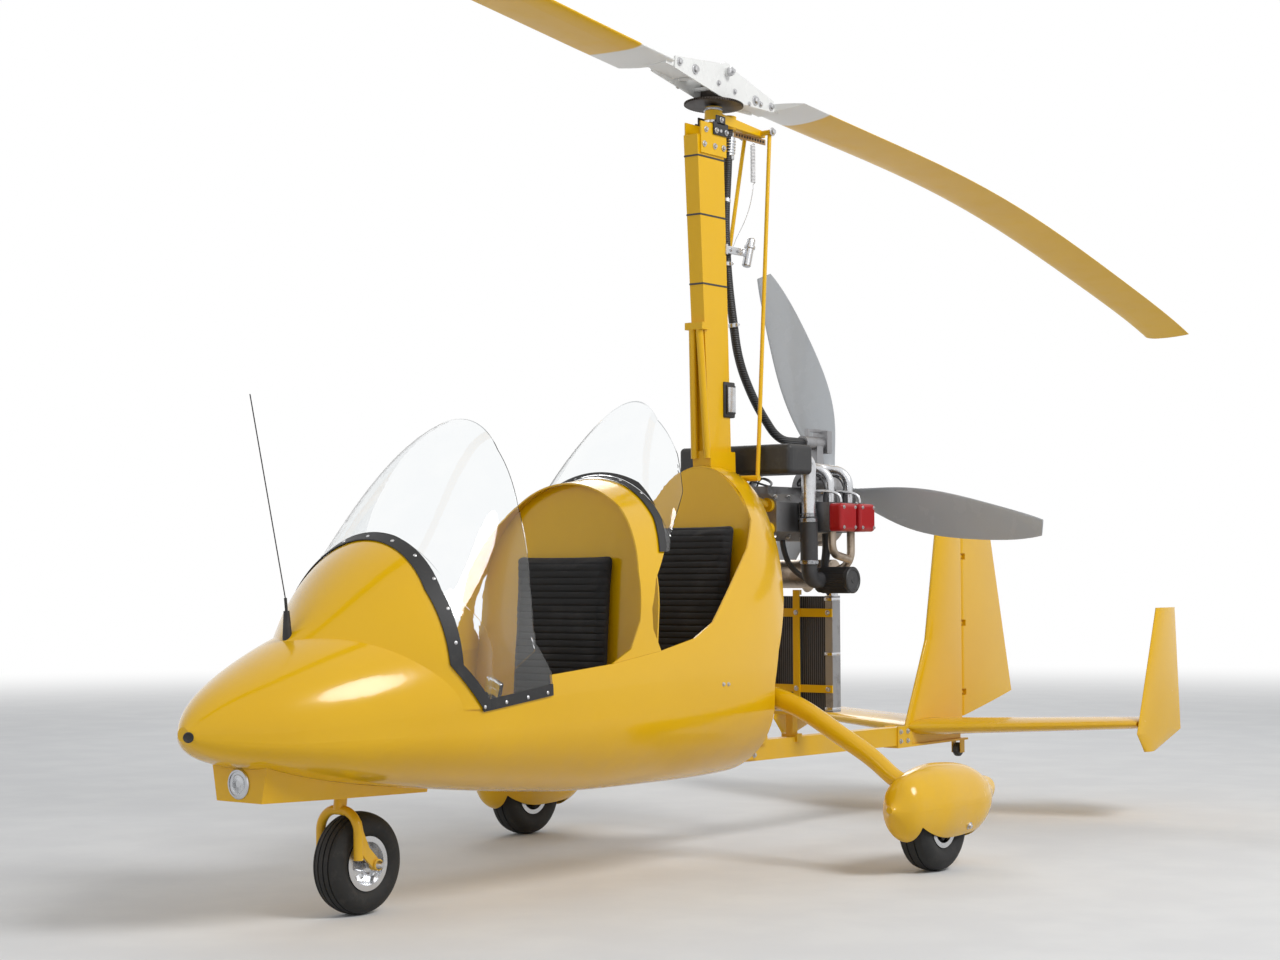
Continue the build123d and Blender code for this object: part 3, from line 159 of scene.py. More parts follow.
def light_the_room():
    """Soft lamps in a dim room that looks white to camera, glossy and clear rays."""
    world = bpy.data.worlds.new("room")
    bpy.context.scene.world = world
    world.use_nodes = True
    tree = world.node_tree
    tree.nodes.clear()
    plain = tree.nodes.new("ShaderNodeBackground")
    plain.inputs["Color"].default_value = (0.93, 0.96, 1.0, 1)
    plain.inputs["Strength"].default_value = 0.42
    bright = tree.nodes.new("ShaderNodeBackground")
    bright.inputs["Color"].default_value = (1, 1, 1, 1)
    bright.inputs["Strength"].default_value = 1.0
    path = tree.nodes.new("ShaderNodeLightPath")
    seen = math_node(tree, "MAXIMUM", path.outputs["Is Camera Ray"], path.outputs["Is Glossy Ray"])
    seen = math_node(tree, "MAXIMUM", seen, path.outputs["Is Transmission Ray"])
    out = tree.nodes.new("ShaderNodeOutputWorld")
    feed(tree, blend_shaders(tree, seen, plain, bright), out.inputs["Surface"])
    soft_lamp("key_lamp", (7.5, -0.5, 7.5), (0, -0.6, 0.9), 4.0, 560)
    soft_lamp("fill_lamp", (-2.0, -8.5, 4.0), (0, -1.0, 0.8), 5.0, 70)
    soft_lamp("rim_lamp", (-5.0, 6.0, 5.5), (0, 0.5, 1.2), 4.0, 140)
    bpy.context.scene.view_settings.view_transform = "Standard"


aim_camera()
light_the_room()


# Making pieces
def unselect():
    if bpy.context.object and bpy.context.object.mode != "OBJECT":
        bpy.ops.object.mode_set(mode="OBJECT")
    bpy.ops.object.select_all(action="DESELECT")


def alone(obj):
    unselect()
    obj.select_set(True)
    bpy.context.view_layer.objects.active = obj


def pick_faces(obj, test):
    """Edit mode with only the faces that pass the test selected."""
    alone(obj)
    bpy.ops.object.mode_set(mode="EDIT")
    bpy.ops.mesh.select_mode(type="FACE")
    bpy.ops.mesh.select_all(action="DESELECT")
    bpy.ops.object.mode_set(mode="OBJECT")
    for face in obj.data.polygons:
        face.select = test(face)
    bpy.ops.object.mode_set(mode="EDIT")


def leave_edit():
    bpy.ops.mesh.select_all(action="SELECT")
    bpy.ops.mesh.normals_make_consistent(inside=False)
    bpy.ops.object.mode_set(mode="OBJECT")


def turned(steps, sides):
    """Turned piece on Z, drawn up ring by ring through (height, radius) steps."""
    unselect()
    (z0, r0), (z1, r1) = steps[:2]
    bpy.ops.mesh.primitive_cone_add(
        vertices=sides, radius1=r0, radius2=r1, depth=z1 - z0, location=(0, 0, (z0 + z1) / 2)
    )
    obj = bpy.context.object
    bpy.ops.object.transform_apply(location=True, rotation=True, scale=True)
    top = max(face.center.z for face in obj.data.polygons)
    pick_faces(obj, lambda face: face.center.z > top - 1e-6 and face.normal.z > 0.9)
    last_z, last_r = z1, r1
    for z, r in steps[2:]:
        bpy.ops.mesh.extrude_region_move(TRANSFORM_OT_translate={"value": (0, 0, z - last_z)})
        k = r / last_r
        bpy.ops.transform.resize(value=(k, k, 1), center_override=(0, 0, z))
        last_z, last_r = z, r
    leave_edit()
    return obj


def placed(obj, pose):
    """The piece, its mesh moved to a pose."""
    obj.data.transform(pose)
    return obj


def hex_bolt(width, height):
    """Bolt head on Z with a rounded top, on its washer."""
    washer = width * 1.5
    head = turned([(height * 0.25, width / 2), (height * 0.85, width / 2), (height, width * 0.4)], 6)
    disc = [(0, washer * 0.5), (height * 0.22, washer * 0.5), (height * 0.28, washer * 0.46)]
    return join([head, turned(disc, 18)])


def dome_screw(width, height):
    steps = [(0, 0.5), (0.5, 0.46), (0.85, 0.32), (1, 0.12)]
    return turned([(height * up, width * out) for up, out in steps], 14)


def join(objs):
    alone(objs[0])
    for obj in objs[1:]:
        obj.select_set(True)
    if len(objs) > 1:
        bpy.ops.object.join()
    return bpy.context.object


def aim(spot, axis):
    """Pose at a spot with its Z along an axis."""
    return Matrix.Translation(spot) @ Vector(axis).to_track_quat("Z", "Y").to_matrix().to_4x4()


def both_sides(x, spots):
    """Poses that face outwards at plus and minus x, one on each side for each (y, z)."""
    return [aim((side * x, y, z), (side, 0, 0)) for side in (-1, 1) for y, z in spots]


def on_solid(name, spot, heading, sink):
    """Pose, facing outwards, where a line of sight meets a solid, sunk a little. Empty for a miss."""
    hit, point, normal, _ = nodes[name].ray_cast(Vector(spot), Vector(heading).normalized())
    if not hit:
        return []
    out = normal if normal.dot(Vector(heading)) < 0 else -normal
    return [aim(point - out * sink, out)]


def repeat(master, poses):
    """One object of copies of the master, each at its pose."""
    made = []
    for pose in poses:
        copy = master.copy()
        copy.data = master.data.copy()
        copy.data.transform(pose)
        bpy.context.scene.collection.objects.link(copy)
        made.append(copy)
    bpy.data.objects.remove(master)
    return join(made)


def block(low, high, round_off, steps):
    """Box between two corners with rounded edges."""
    unselect()
    mid = [(a + b) / 2 for a, b in zip(low, high)]
    bpy.ops.mesh.primitive_cube_add(size=1, location=mid)
    obj = bpy.context.object
    obj.scale = [b - a for a, b in zip(low, high)]
    bpy.ops.object.transform_apply(location=True, rotation=True, scale=True)
    bpy.ops.object.mode_set(mode="EDIT")
    bpy.ops.mesh.select_all(action="SELECT")
    bpy.ops.mesh.bevel(offset=round_off, segments=steps, affect="EDGES")
    leave_edit()
    return obj


def line(points, radius, sides=10):
    """Bent tube on a smooth line led by a few points."""
    unselect()
    bpy.ops.curve.primitive_nurbs_path_add(radius=1, location=(0, 0, 0))
    obj = bpy.context.object
    spline = obj.data.splines[0]
    spline.points.add(max(0, len(points) - len(spline.points)))
    spare = len(spline.points) - len(points)
    full = list(points) + [points[-1]] * spare
    for knot, p in zip(spline.points, full):
        knot.co = (*p, 1)
    spline.order_u = 3
    spline.use_endpoint_u = True
    spline.resolution_u = 6
    obj.data.bevel_depth = radius
    obj.data.bevel_resolution = max(1, sides // 4)
    obj.data.use_fill_caps = True
    bpy.ops.object.convert(target="MESH")
    return bpy.context.object


def band(spot, axis, radius, width=0.014):
    """Hose clamp: a thin band with its screw box."""
    edge, lip = width / 2, width * 0.4
    ring = turned([(-edge, radius), (-lip, radius + 0.0012), (lip, radius + 0.0012), (edge, radius)], 28)
    low = (radius - 0.002, -0.007, -width * 0.42)
    ear = block(low, (radius + 0.0065, 0.007, width * 0.42), 0.0014, 2)
    screw = turned([(0.007, 0.0034), (0.0105, 0.0034), (0.0115, 0.0026)], 6)
    across = Matrix.Translation((radius + 0.0035, 0, 0)) @ Matrix.Rotation(-math.pi / 2, 4, "X")
    return placed(join([ring, ear, placed(screw, across)]), aim(spot, axis))


def finish_piece(obj, name, finish, body="airframe", angle=35, replaced=()):
    alone(obj)
    bpy.ops.object.transform_apply(location=True, rotation=True, scale=True)
    obj.name = name
    obj.data.name = name
    obj.data.materials.clear()
    obj.data.materials.append(finish)
    bpy.ops.object.shade_smooth_by_angle(angle=math.radians(angle))
    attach(obj, body)
    if replaced:
        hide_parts(*replaced)


def bolt_set(name, width, height, poses, body="airframe"):
    """One piece of like bolt heads, one at each pose."""
    finish_piece(repeat(hex_bolt(width, height), poses), name, steel_metal, body)


# Finishes
def effect(name, values):
    """Empty node group: an input for each value, and colour, roughness and height out."""
    tree = bpy.data.node_groups.new(name, "ShaderNodeTree")
    for label, value in values.items():
        kind = "NodeSocketColor" if isinstance(value, tuple) else "NodeSocketFloat"
        socket = tree.interface.new_socket(name=label, in_out="INPUT", socket_type=kind)
        socket.default_value = value
    for label, kind in (("Colour", "Color"), ("Roughness", "Float"), ("Height", "Float")):
        tree.interface.new_socket(name=label, in_out="OUTPUT", socket_type="NodeSocket" + kind)
    return tree, tree.nodes.new("NodeGroupInput").outputs, tree.nodes.new("NodeGroupOutput").inputs


def make_paint_effect():
    """Sprayed paint: faint cloudiness, peel in the surface, dust low down and in specks."""
    values = {
        "Colour": YELLOW, "Shade": YELLOW_SHADE, "Dust": DUST, "Dust Amount": 0.2, "Roughness": 0.25,
        "Peel Scale": 160.0,
    }
    tree, ins, outs = effect("sprayed_paint", values)
    at = object_coord(tree)
    cloud = ranged(tree, noise(tree, at, 2.2, 4), 0.3, 0.75)
    coat = blend_colour(tree, times(tree, cloud, 0.35), ins["Colour"], ins["Shade"])
    low = ranged(tree, split(tree, at)[2], 0.62, 0.02)
    specks = ranged(tree, noise(tree, at, 95.0, 6, 0.7), 0.52, 0.74)
    patches = ranged(tree, noise(tree, at, 7.0, 5), 0.42, 0.72)
    near_ground = times(tree, low, plus(tree, patches, 0.35))
    all_dust = plus(tree, near_ground, times(tree, specks, 0.14))
    dust = times(tree, all_dust, ins["Dust Amount"])
    feed(tree, blend_colour(tree, dust, coat, ins["Dust"]), outs["Colour"])
    rough = plus(tree, ins["Roughness"], times(tree, dust, 0.5))
    smear = times(tree, ranged(tree, noise(tree, at, 12.0, 4), 0.4, 0.8), 0.08)
    feed(tree, plus(tree, rough, smear), outs["Roughness"])
    feed(tree, noise(tree, at, ins["Peel Scale"], 2), outs["Height"])
    return tree


def make_metal_effect():
    """Worked metal: fine grain, oil stains and a little tarnish in patches."""
    values = {
        "Colour": SILVER, "Stain": (0.10, 0.08, 0.06, 1), "Stain Amount": 0.3, "Roughness": 0.35,
        "Grain Scale": 400.0,
    }
    tree, ins, outs = effect("worked_metal", values)
    at = object_coord(tree)
    stain = ranged(tree, noise(tree, at, 14.0, 6, 0.65), 0.46, 0.76)
    amount = times(tree, stain, ins["Stain Amount"])
    feed(tree, blend_colour(tree, amount, ins["Colour"], ins["Stain"]), outs["Colour"])
    grain = noise(tree, at, ins["Grain Scale"], 4, 0.7)
    rough = plus(tree, ins["Roughness"], times(tree, amount, 0.35))
    wander = times(tree, math_node(tree, "SUBTRACT", grain, 0.5), 0.18)
    feed(tree, plus(tree, rough, wander), outs["Roughness"])
    feed(tree, grain, outs["Height"])
    return tree


def make_rubber_effect():
    """Moulded rubber and plastic: pebbled skin and pale scuffs."""
    values = {
        "Colour": BLACK, "Scuff": (0.11, 0.10, 0.09, 1), "Scuff Amount": 0.5, "Roughness": 0.6,
        "Pebble Scale": 500.0,
    }
    tree, ins, outs = effect("moulded_skin", values)
    at = object_coord(tree)
    scuff = ranged(tree, noise(tree, at, 26.0, 6, 0.7), 0.48, 0.8)
    amount = times(tree, scuff, ins["Scuff Amount"])
    feed(tree, blend_colour(tree, amount, ins["Colour"], ins["Scuff"]), outs["Colour"])
    feed(tree, plus(tree, ins["Roughness"], times(tree, amount, 0.3)), outs["Roughness"])
    cell = tree.nodes.new("ShaderNodeTexVoronoi")
    feed(tree, ins["Pebble Scale"], cell.inputs["Scale"])
    feed(tree, at, cell.inputs["Vector"])
    feed(tree, cell.outputs["Distance"], outs["Height"])
    return tree


PAINT = make_paint_effect()
METAL = make_metal_effect()
SKIN = make_rubber_effect()


def new_finish(name):
    finish = bpy.data.materials.new(name)
    finish.use_nodes = True
    tree = finish.node_tree
    tree.nodes.clear()
    out = tree.nodes.new("ShaderNodeOutputMaterial")
    shader = tree.nodes.new("ShaderNodeBsdfPrincipled")
    feed(tree, shader.outputs["BSDF"], out.inputs["Surface"])
    return finish, tree, shader


def raise_surface(tree, shader, height, strength, distance):
    """Bump a shader's surface by a height."""
    lift = tree.nodes.new("ShaderNodeBump")
    lift.inputs["Strength"].default_value = strength
    lift.inputs["Distance"].default_value = distance
    feed(tree, height, lift.inputs["Height"])
    feed(tree, lift.outputs["Normal"], shader.inputs["Normal"])


def use_effect(tree, shader, group, values, bump, distance, extra):
    """Place an effect in a finish and feed the shader from it."""
    node = tree.nodes.new("ShaderNodeGroup")
    node.node_tree = group
    for label, value in values.items():
        node.inputs[label].default_value = value
    colour = node.outputs["Colour"]
    height = node.outputs["Height"]
    if extra:
        colour, height = extra(tree, colour, height)
    feed(tree, colour, shader.inputs["Base Color"])
    feed(tree, node.outputs["Roughness"], shader.inputs["Roughness"])
    raise_surface(tree, shader, height, bump, distance)


def paint(name, colour, shade, rough, coat, dust, peel, bump, extra=None):
    finish, tree, shader = new_finish(name)
    values = {"Colour": colour, "Shade": shade, "Dust Amount": dust, "Roughness": rough, "Peel Scale": peel}
    use_effect(tree, shader, PAINT, values, bump, 0.001, extra)
    shader.inputs["Specular IOR Level"].default_value = 0.3
    shader.inputs["Coat Weight"].default_value = coat
    shader.inputs["Coat Roughness"].default_value = 0.06
    return finish


def metal(name, colour, rough, stain, grain, metallic=1.0, bump=0.08, extra=None):
    finish, tree, shader = new_finish(name)
    values = {"Colour": colour, "Stain Amount": stain, "Roughness": rough, "Grain Scale": grain}
    use_effect(tree, shader, METAL, values, bump, 0.0006, extra)
    shader.inputs["Metallic"].default_value = metallic
    return finish


def moulded(name, colour, rough, scuff, pebble, bump=0.15, extra=None):
    finish, tree, shader = new_finish(name)
    values = {"Colour": colour, "Scuff Amount": scuff, "Roughness": rough, "Pebble Scale": pebble}
    use_effect(tree, shader, SKIN, values, bump, 0.0008, extra)
    return finish


def clear_sheet(name, tint, rough=0.015):
    """Clear acrylic with faint polish marks and a haze in patches."""
    finish, tree, shader = new_finish(name)
    at = object_coord(tree)
    marks = ranged(tree, noise(tree, at, 60.0, 6, 0.7), 0.5, 0.8, rough, rough + 0.05)
    feed(tree, marks, shader.inputs["Roughness"])
    haze = ranged(tree, noise(tree, at, 5.0, 4), 0.3, 0.8)
    feed(tree, blend_colour(tree, haze, tint, (0.97, 0.98, 0.98, 1)), shader.inputs["Base Color"])
    shader.inputs["Transmission Weight"].default_value = 1.0
    shader.inputs["IOR"].default_value = 1.42
    return finish


def ridges_with_groove_shade(axis, pitch, groove_shade):
    """Ridges across one axis, added to a finish's height, with painted shade darkening the grooves."""
    def add(tree, colour, height):
        at = split(tree, object_coord(tree))["XYZ".index(axis)]
        wave = math_node(tree, "SINE", times(tree, at, 2 * math.pi / pitch), 0)
        lift = plus(tree, wave, times(tree, height, 0.1))
        # Painted shade: the colour goes dark in the grooves.
        return blend_colour(tree, ranged(tree, wave, 0.2, -0.7), colour, groove_shade), lift
    return add


def white_root(tree, colour, height):
    """White cuff at the blade's root, yellow beyond it, by the distance from a point in the hub."""
    moved = tree.nodes.new("ShaderNodeVectorMath")
    moved.operation = "SUBTRACT"
    moved.inputs[1].default_value = (0, 0, 2.55)
    feed(tree, object_coord(tree), moved.inputs[0])
    reach = tree.nodes.new("ShaderNodeVectorMath")
    reach.operation = "LENGTH"
    feed(tree, moved.outputs[0], reach.inputs[0])
    out = ranged(tree, reach.outputs["Value"], 0.520, 0.535)
    return blend_colour(tree, out, WHITE, colour), height


# Numbers in order: roughness, coat, dust, peel scale, bump.
hull_paint = paint("gloss_yellow_pod", YELLOW, YELLOW_SHADE, 0.18, 0.35, 0.10, 140.0, 0.02)
frame_paint = paint("yellow_frame_coat", YELLOW, YELLOW_SHADE, 0.32, 0.15, 0.18, 260.0, 0.05)
tail_paint = paint("gloss_yellow_tail", YELLOW, YELLOW_SHADE, 0.20, 0.3, 0.12, 140.0, 0.02)
bar_paint = paint("white_hub_coat", WHITE, (0.70, 0.70, 0.68, 1), 0.25, 0.5, 0.15, 220.0, 0.03)
blade_paint = paint("yellow_blade_coat", YELLOW, YELLOW_SHADE, 0.34, 0.1, 0.05, 200.0, 0.03, white_root)
prop_paint = paint("grey_prop_coat", PROP_GREY, (0.40, 0.42, 0.44, 1), 0.24, 0.3, 0.12, 180.0, 0.03)
crackle_paint = paint("red_crackle_coat", RED, (0.26, 0.004, 0.006, 1), 0.38, 0.2, 0.3, 520.0, 0.5)
# Numbers in order: roughness, stain, grain scale, metallic, bump.
cast_metal = metal("sand_cast_alloy", CAST, 0.5, 0.55, 260.0, 1.0, 0.3)
case_metal = metal("dark_cast_case", (0.16, 0.16, 0.165, 1), 0.5, 0.5, 260.0, 1.0, 0.3)
bright_metal = metal("machined_alloy", SILVER, 0.24, 0.18, 500.0)
steel_metal = metal("plated_steel", (0.56, 0.56, 0.57, 1), 0.28, 0.25, 450.0)
pipe_metal = metal("intake_alloy", (0.66, 0.67, 0.69, 1), 0.26, 0.22, 420.0)
hot_metal = metal("heat_stained_pipe", (0.46, 0.38, 0.30, 1), 0.38, 0.65, 180.0, 1.0, 0.12)
bronze_metal = metal("bronze_anodised", BRONZE, 0.32, 0.3, 400.0)
dark_steel = metal("blackened_ring", (0.055, 0.045, 0.04, 1), 0.42, 0.5, 380.0, 0.9)
# Radiator fins: ridges in the height, and painted shade in the grooves between the fins.
fin_ridges_and_shade = ridges_with_groove_shade("X", 0.0085, (0.004, 0.004, 0.005, 1))
fin_core = metal("radiator_fins", (0.10, 0.10, 0.105, 1), 0.5, 0.3, 300.0, 0.6, 0.9, fin_ridges_and_shade)
# Numbers in order: roughness, scuff, pebble scale, bump.
trim_rubber = moulded("trim_rubber", BLACK, 0.55, 0.25, 700.0)
tyre_rubber = moulded("tyre_rubber", (0.010, 0.010, 0.010, 1), 0.72, 0.30, 420.0, 0.3)
hose_rubber = moulded("hose_rubber", SOFT_BLACK, 0.5, 0.3, 600.0)
# The drive hose's ribs, with painted shade darkening the grooves between them.
ribbed_hose = moulded("ribbed_hose", SOFT_BLACK, 0.45, 0.3, 600.0, 0.9, ridges_with_groove_shade("Z", 0.0075, BLACK))
case_plastic = moulded("case_plastic", (0.020, 0.020, 0.021, 1), 0.48, 0.3, 800.0, 0.12)
tank_plastic = moulded("tank_plastic", (0.05, 0.05, 0.052, 1), 0.5, 0.4, 300.0, 0.2)
floor_mat = moulded("floor_mat", (0.03, 0.03, 0.032, 1), 0.85, 0.9, 900.0, 0.5)
panel_face = moulded("panel_face", (0.018, 0.018, 0.019, 1), 0.55, 0.15, 900.0, 0.2)
screen_sheet = clear_sheet("screen_acrylic", (0.93, 0.95, 0.96, 1))
lens_sheet = clear_sheet("lamp_lens", (0.95, 0.96, 0.97, 1), 0.03)


def make_cover_cloth():
    """Black seat cloth: a close weave with lint and worn, paler high spots."""
    finish, tree, shader = new_finish("seat_cloth")
    at = object_coord(tree)
    cell = tree.nodes.new("ShaderNodeTexVoronoi")
    cell.inputs["Scale"].default_value = 900.0
    feed(tree, at, cell.inputs["Vector"])
    worn = ranged(tree, noise(tree, at, 9.0, 5), 0.4, 0.8)
    lint = ranged(tree, noise(tree, at, 210.0, 4, 0.75), 0.6, 0.8)
    mix = blend_colour(tree, times(tree, worn, 0.6), (0.004, 0.004, 0.005, 1), (0.010, 0.010, 0.012, 1))
    mix = blend_colour(tree, times(tree, lint, 0.25), mix, (0.05, 0.05, 0.05, 1))
    feed(tree, mix, shader.inputs["Base Color"])
    feed(tree, ranged(tree, worn, 0, 1, 0.82, 0.66), shader.inputs["Roughness"])
    raise_surface(tree, shader, cell.outputs["Distance"], 0.5, 0.0006)
    shader.inputs["Sheen Weight"].default_value = 0.06
    return finish


seat_cloth = make_cover_cloth()

CAD_FINISH = {
    hull_paint: ("hull_shell", "chin_box", "mid_cowl", "spats", "bulkheads", "gear_bow"),
    tail_paint: ("stabiliser", "fin", "tip_fins", "rudder"),
    frame_paint: (
        "mast", "mast_collar", "base_frame", "keel_beam", "nose_fork", "engine_mount", "radiator_frame",
        "tail_bracket", "steering_head", "rotor_head", "control_rods",
    ),
    bar_paint: ("hub_bar",),
    blade_paint: ("rotor_blades",),
    prop_paint: ("prop_blades",),
    crackle_paint: ("rocker_covers",),
    cast_metal: ("engine_block", "gearbox", "prerotator_drive", "radiator_tanks"),
    case_metal: ("cylinders", "flight_controls"),
    bright_metal: ("nose_rim", "main_left_rim", "main_right_rim", "prop_hub"),
    steel_metal: ("main_axles", "nose_axle"),
    dark_steel: ("rotor_spindle",),
    pipe_metal: ("intake_pipes",),
    hot_metal: ("exhaust",),
    trim_rubber: ("screen_trims", "antenna"),
    tyre_rubber: ("nose_tyre", "main_left_tyre", "main_right_tyre"),
    hose_rubber: ("air_filter", "tail_wheel"),
    ribbed_hose: ("drive_shaft",),
    case_plastic: ("airbox", "battery"),
    tank_plastic: ("seat_tanks",),
    floor_mat: ("cabin_floor",),
    panel_face: ("instrument_panel",),
    fin_core: ("radiator_core",),
    screen_sheet: ("front_screen", "rear_screen"),
    lens_sheet: ("landing_lamp",),
}
for finish, names in CAD_FINISH.items():
    for name in names:
        mesh = nodes[name].data
        mesh.materials.clear()
        mesh.materials.append(finish)


# Floor
def lay_floor():
    """Pale floor that fades into the white room between 6.5 m and 15 m out."""
    unselect()
    bpy.ops.mesh.primitive_plane_add(size=90, location=(0, 0, 0))
    floor = bpy.context.object
    floor.name = "studio_floor"
    finish = bpy.data.materials.new("pale_floor")
    finish.use_nodes = True
    tree = finish.node_tree
    shader = tree.nodes["Principled BSDF"]
    at = object_coord(tree)
    speck = ranged(tree, noise(tree, at, 3.0, 5), 0.35, 0.7)
    pale = blend_colour(tree, speck, (0.72, 0.72, 0.72, 1), (0.76, 0.76, 0.755, 1))
    feed(tree, pale, shader.inputs["Base Color"])
    shader.inputs["Roughness"].default_value = 0.85
    span = tree.nodes.new("ShaderNodeVectorMath")
    span.operation = "LENGTH"
    feed(tree, at, span.inputs[0])
    glow = tree.nodes.new("ShaderNodeEmission")
    faded = blend_shaders(tree, ranged(tree, span.outputs["Value"], 6.5, 15.0), shader, glow)
    feed(tree, faded, tree.nodes["Material Output"].inputs["Surface"])
    floor.data.materials.clear()
    floor.data.materials.append(finish)


lay_floor()


# Seats
RIB_PITCH = 0.021
RIB_DEPTH = 0.0035
SWELL_CAP = 0.012
SWELL_FRAMES = 20


def apply_last(obj):
    """Apply the newest modifier of a piece."""
    bpy.ops.object.modifier_apply(modifier=obj.modifiers[-1].name)


def remesh(obj, size):
    """Even skin over a closed piece, made from voxels of a size."""
    alone(obj)
    mod = obj.modifiers.new("voxels", "REMESH")
    mod.mode = "VOXEL"
    mod.voxel_size = size
    apply_last(obj)


def swell(obj):
    """Puff a closed pad up with cloth pressure, each point moving at most the cap."""
    rest = [v.co.copy() for v in obj.data.vertices]
    cloth = obj.modifiers.new("pressure", "CLOTH")
    cloth.settings.use_pressure = True
    cloth.settings.uniform_pressure_force = 4
    cloth.settings.effector_weights.gravity = 0
    scene = bpy.context.scene
    for step in range(1, SWELL_FRAMES + 1):
        scene.frame_set(step)
    apply_last(obj)
    for vertex, start in zip(obj.data.vertices, rest):
        move = vertex.co - start
        if move.length > SWELL_CAP:
            vertex.co = start + move.normalized() * SWELL_CAP
    scene.frame_set(1)


def seat_pad(name, node, size, origin, run):
    """Cushion with sewn ribs across it, its depth along the run from an origin."""
    w, d, t = size
    shrink = 0.010
    obj = block((-w + shrink, shrink, shrink), (w - shrink, d - shrink, t - shrink), 0.016, 4)
    remesh(obj, 0.006)
    swell(obj)
    mod = obj.modifiers.new("round", "SUBSURF")
    mod.levels = 1
    mod.render_levels = 1
    apply_last(obj)
    for vertex in obj.data.vertices:
        _, y, z = vertex.co
        front = max(0.0, min(1.0, (z - t * 0.45) / (t * 0.3)))
        groove = 1 - abs(math.sin(math.pi * y / RIB_PITCH))
        vertex.co.z -= RIB_DEPTH * front * groove ** 3
        vertex.co.z = max(0.001, vertex.co.z)
    across, along = Vector((1, 0, 0)), Vector(run).normalized()
    pose = Matrix((across, along, across.cross(along))).transposed().to_4x4()
    pose.translation = origin
    finish_piece(placed(obj, pose), name, seat_cloth, angle=60, replaced=(node,))


# Columns: name, half width, depth, thickness, origin.
CUSHIONS = [
    ("front_cushion", 0.205, 0.340, 0.070, (0, -1.212, 0.430)),
    ("rear_cushion", 0.205, 0.310, 0.070, (0, -0.552, 0.460)),
]
for name, half, depth, thick, origin in CUSHIONS:
    seat_pad(name, "seat_bases", (half, depth, thick), origin, (0, 1, 0))
# Columns: name, half width, foot (y, z), head (y, z) of the rear face, thickness.
BACKRESTS = [
    ("front_backrest", 0.200, (-0.8182, 0.443), (-0.7750, 0.990), 0.050),
    ("rear_backrest", 0.190, (-0.1906, 0.473), (-0.1240, 1.090), 0.050),
]
for name, half, foot, head, thick in BACKRESTS:
    run = Vector((0, head[0] - foot[0], head[1] - foot[1]))
    seat_pad(name, "seat_backs", (half, run.length, thick), (0, *foot), run)


# Rotor head and hub
TILT = math.radians(3.6)
HUB_HEIGHT = 2.603
HEAD = Matrix.Translation((0, 0, HUB_HEIGHT)) @ Matrix.Rotation(-TILT, 4, "X")
HUB = HEAD @ Matrix.Rotation(TILT, 4, "Z")
PLATE_X = 0.0475
HUB_BOLT_WIDTH = 0.02
# Port side, the other side turned half round. Columns: place along the bar, height, width across the flats.
HUB_BOLTS = [
    (-0.291, -0.039, 0.019), (-0.196, -0.040, 0.023), (-0.049, -0.050, 0.014), (0.055, -0.054, 0.014),
    (0.189, -0.052, 0.023), (0.224, -0.057, 0.015), (0.296, -0.048, 0.019), (0.150, -0.074, 0.012),
]


def dress_hub():
    """Bolts through the hub bar, nuts on the teeter bolt and straps under the blades' roots."""
    poses = []
    for out, up, width in HUB_BOLTS:
        for side in (-1, 1):
            pose = HUB @ aim((side * PLATE_X, side * out, up), (side, 0, 0))
            poses.append(pose @ Matrix.Scale(width / HUB_BOLT_WIDTH, 4))
    bolt_set("hub_bar_bolts", HUB_BOLT_WIDTH, 0.011, poses, "rotor_bar")
    nut = turned([(0, 0.0165), (0.012, 0.0165), (0.015, 0.013)], 6)
    pin = turned([(0.014, 0.0075), (0.021, 0.0075), (0.023, 0.006)], 16)
    caps = repeat(join([nut, pin]), [HUB @ pose for pose in both_sides(0.0575, [(0, 0)])])
    finish_piece(caps, "teeter_bolt_nuts", steel_metal, "rotor_bar")
    straps = []
    for side in (-1, 1):
        mid = side * 0.21
        straps.append(block((-0.036, mid - 0.1, -0.0415), (0.036, mid + 0.1, -0.0365), 0.002, 2))
    finish_piece(placed(join(straps), HUB), "blade_root_straps", bar_paint, "rotor_bar")


def dress_rotor_head():
    """Bearing housing rings, the ring gear's teeth, and the bolts of the cheek plates and rod ends."""
    rings = []
    for foot, radius in ((-0.176, 0.034), (-0.132, 0.0335)):
        steps = [(0, 0.0302), (0.002, radius), (0.010, radius), (0.012, 0.0302)]
        rings.append(turned([(foot + up, out) for up, out in steps], 32))
    finish_piece(placed(join(rings), HEAD), "bearing_housing_rings", bright_metal)
    tooth = block((-0.0017, 0.0962, -0.1115), (0.0017, 0.1005, -0.1045), 0.0006, 1)
    teeth = repeat(tooth, [HUB @ Matrix.Rotation(math.tau * k / 72, 4, "Z") for k in range(72)])
    finish_piece(teeth, "prerotator_teeth", dark_steel, "rotor")
    spots = [(-0.110, 2.345), (-0.050, 2.345), (0.000, 2.345), (-0.100, 2.395), (-0.022, 2.400)]
    bolt_set("cheek_plate_bolts", 0.014, 0.008, both_sides(0.0345, spots))
    ends = both_sides(0.0625, [(0.261, -0.150)])
    bolt_set("rod_end_bolts", 0.020, 0.012, [HEAD @ pose for pose in ends])


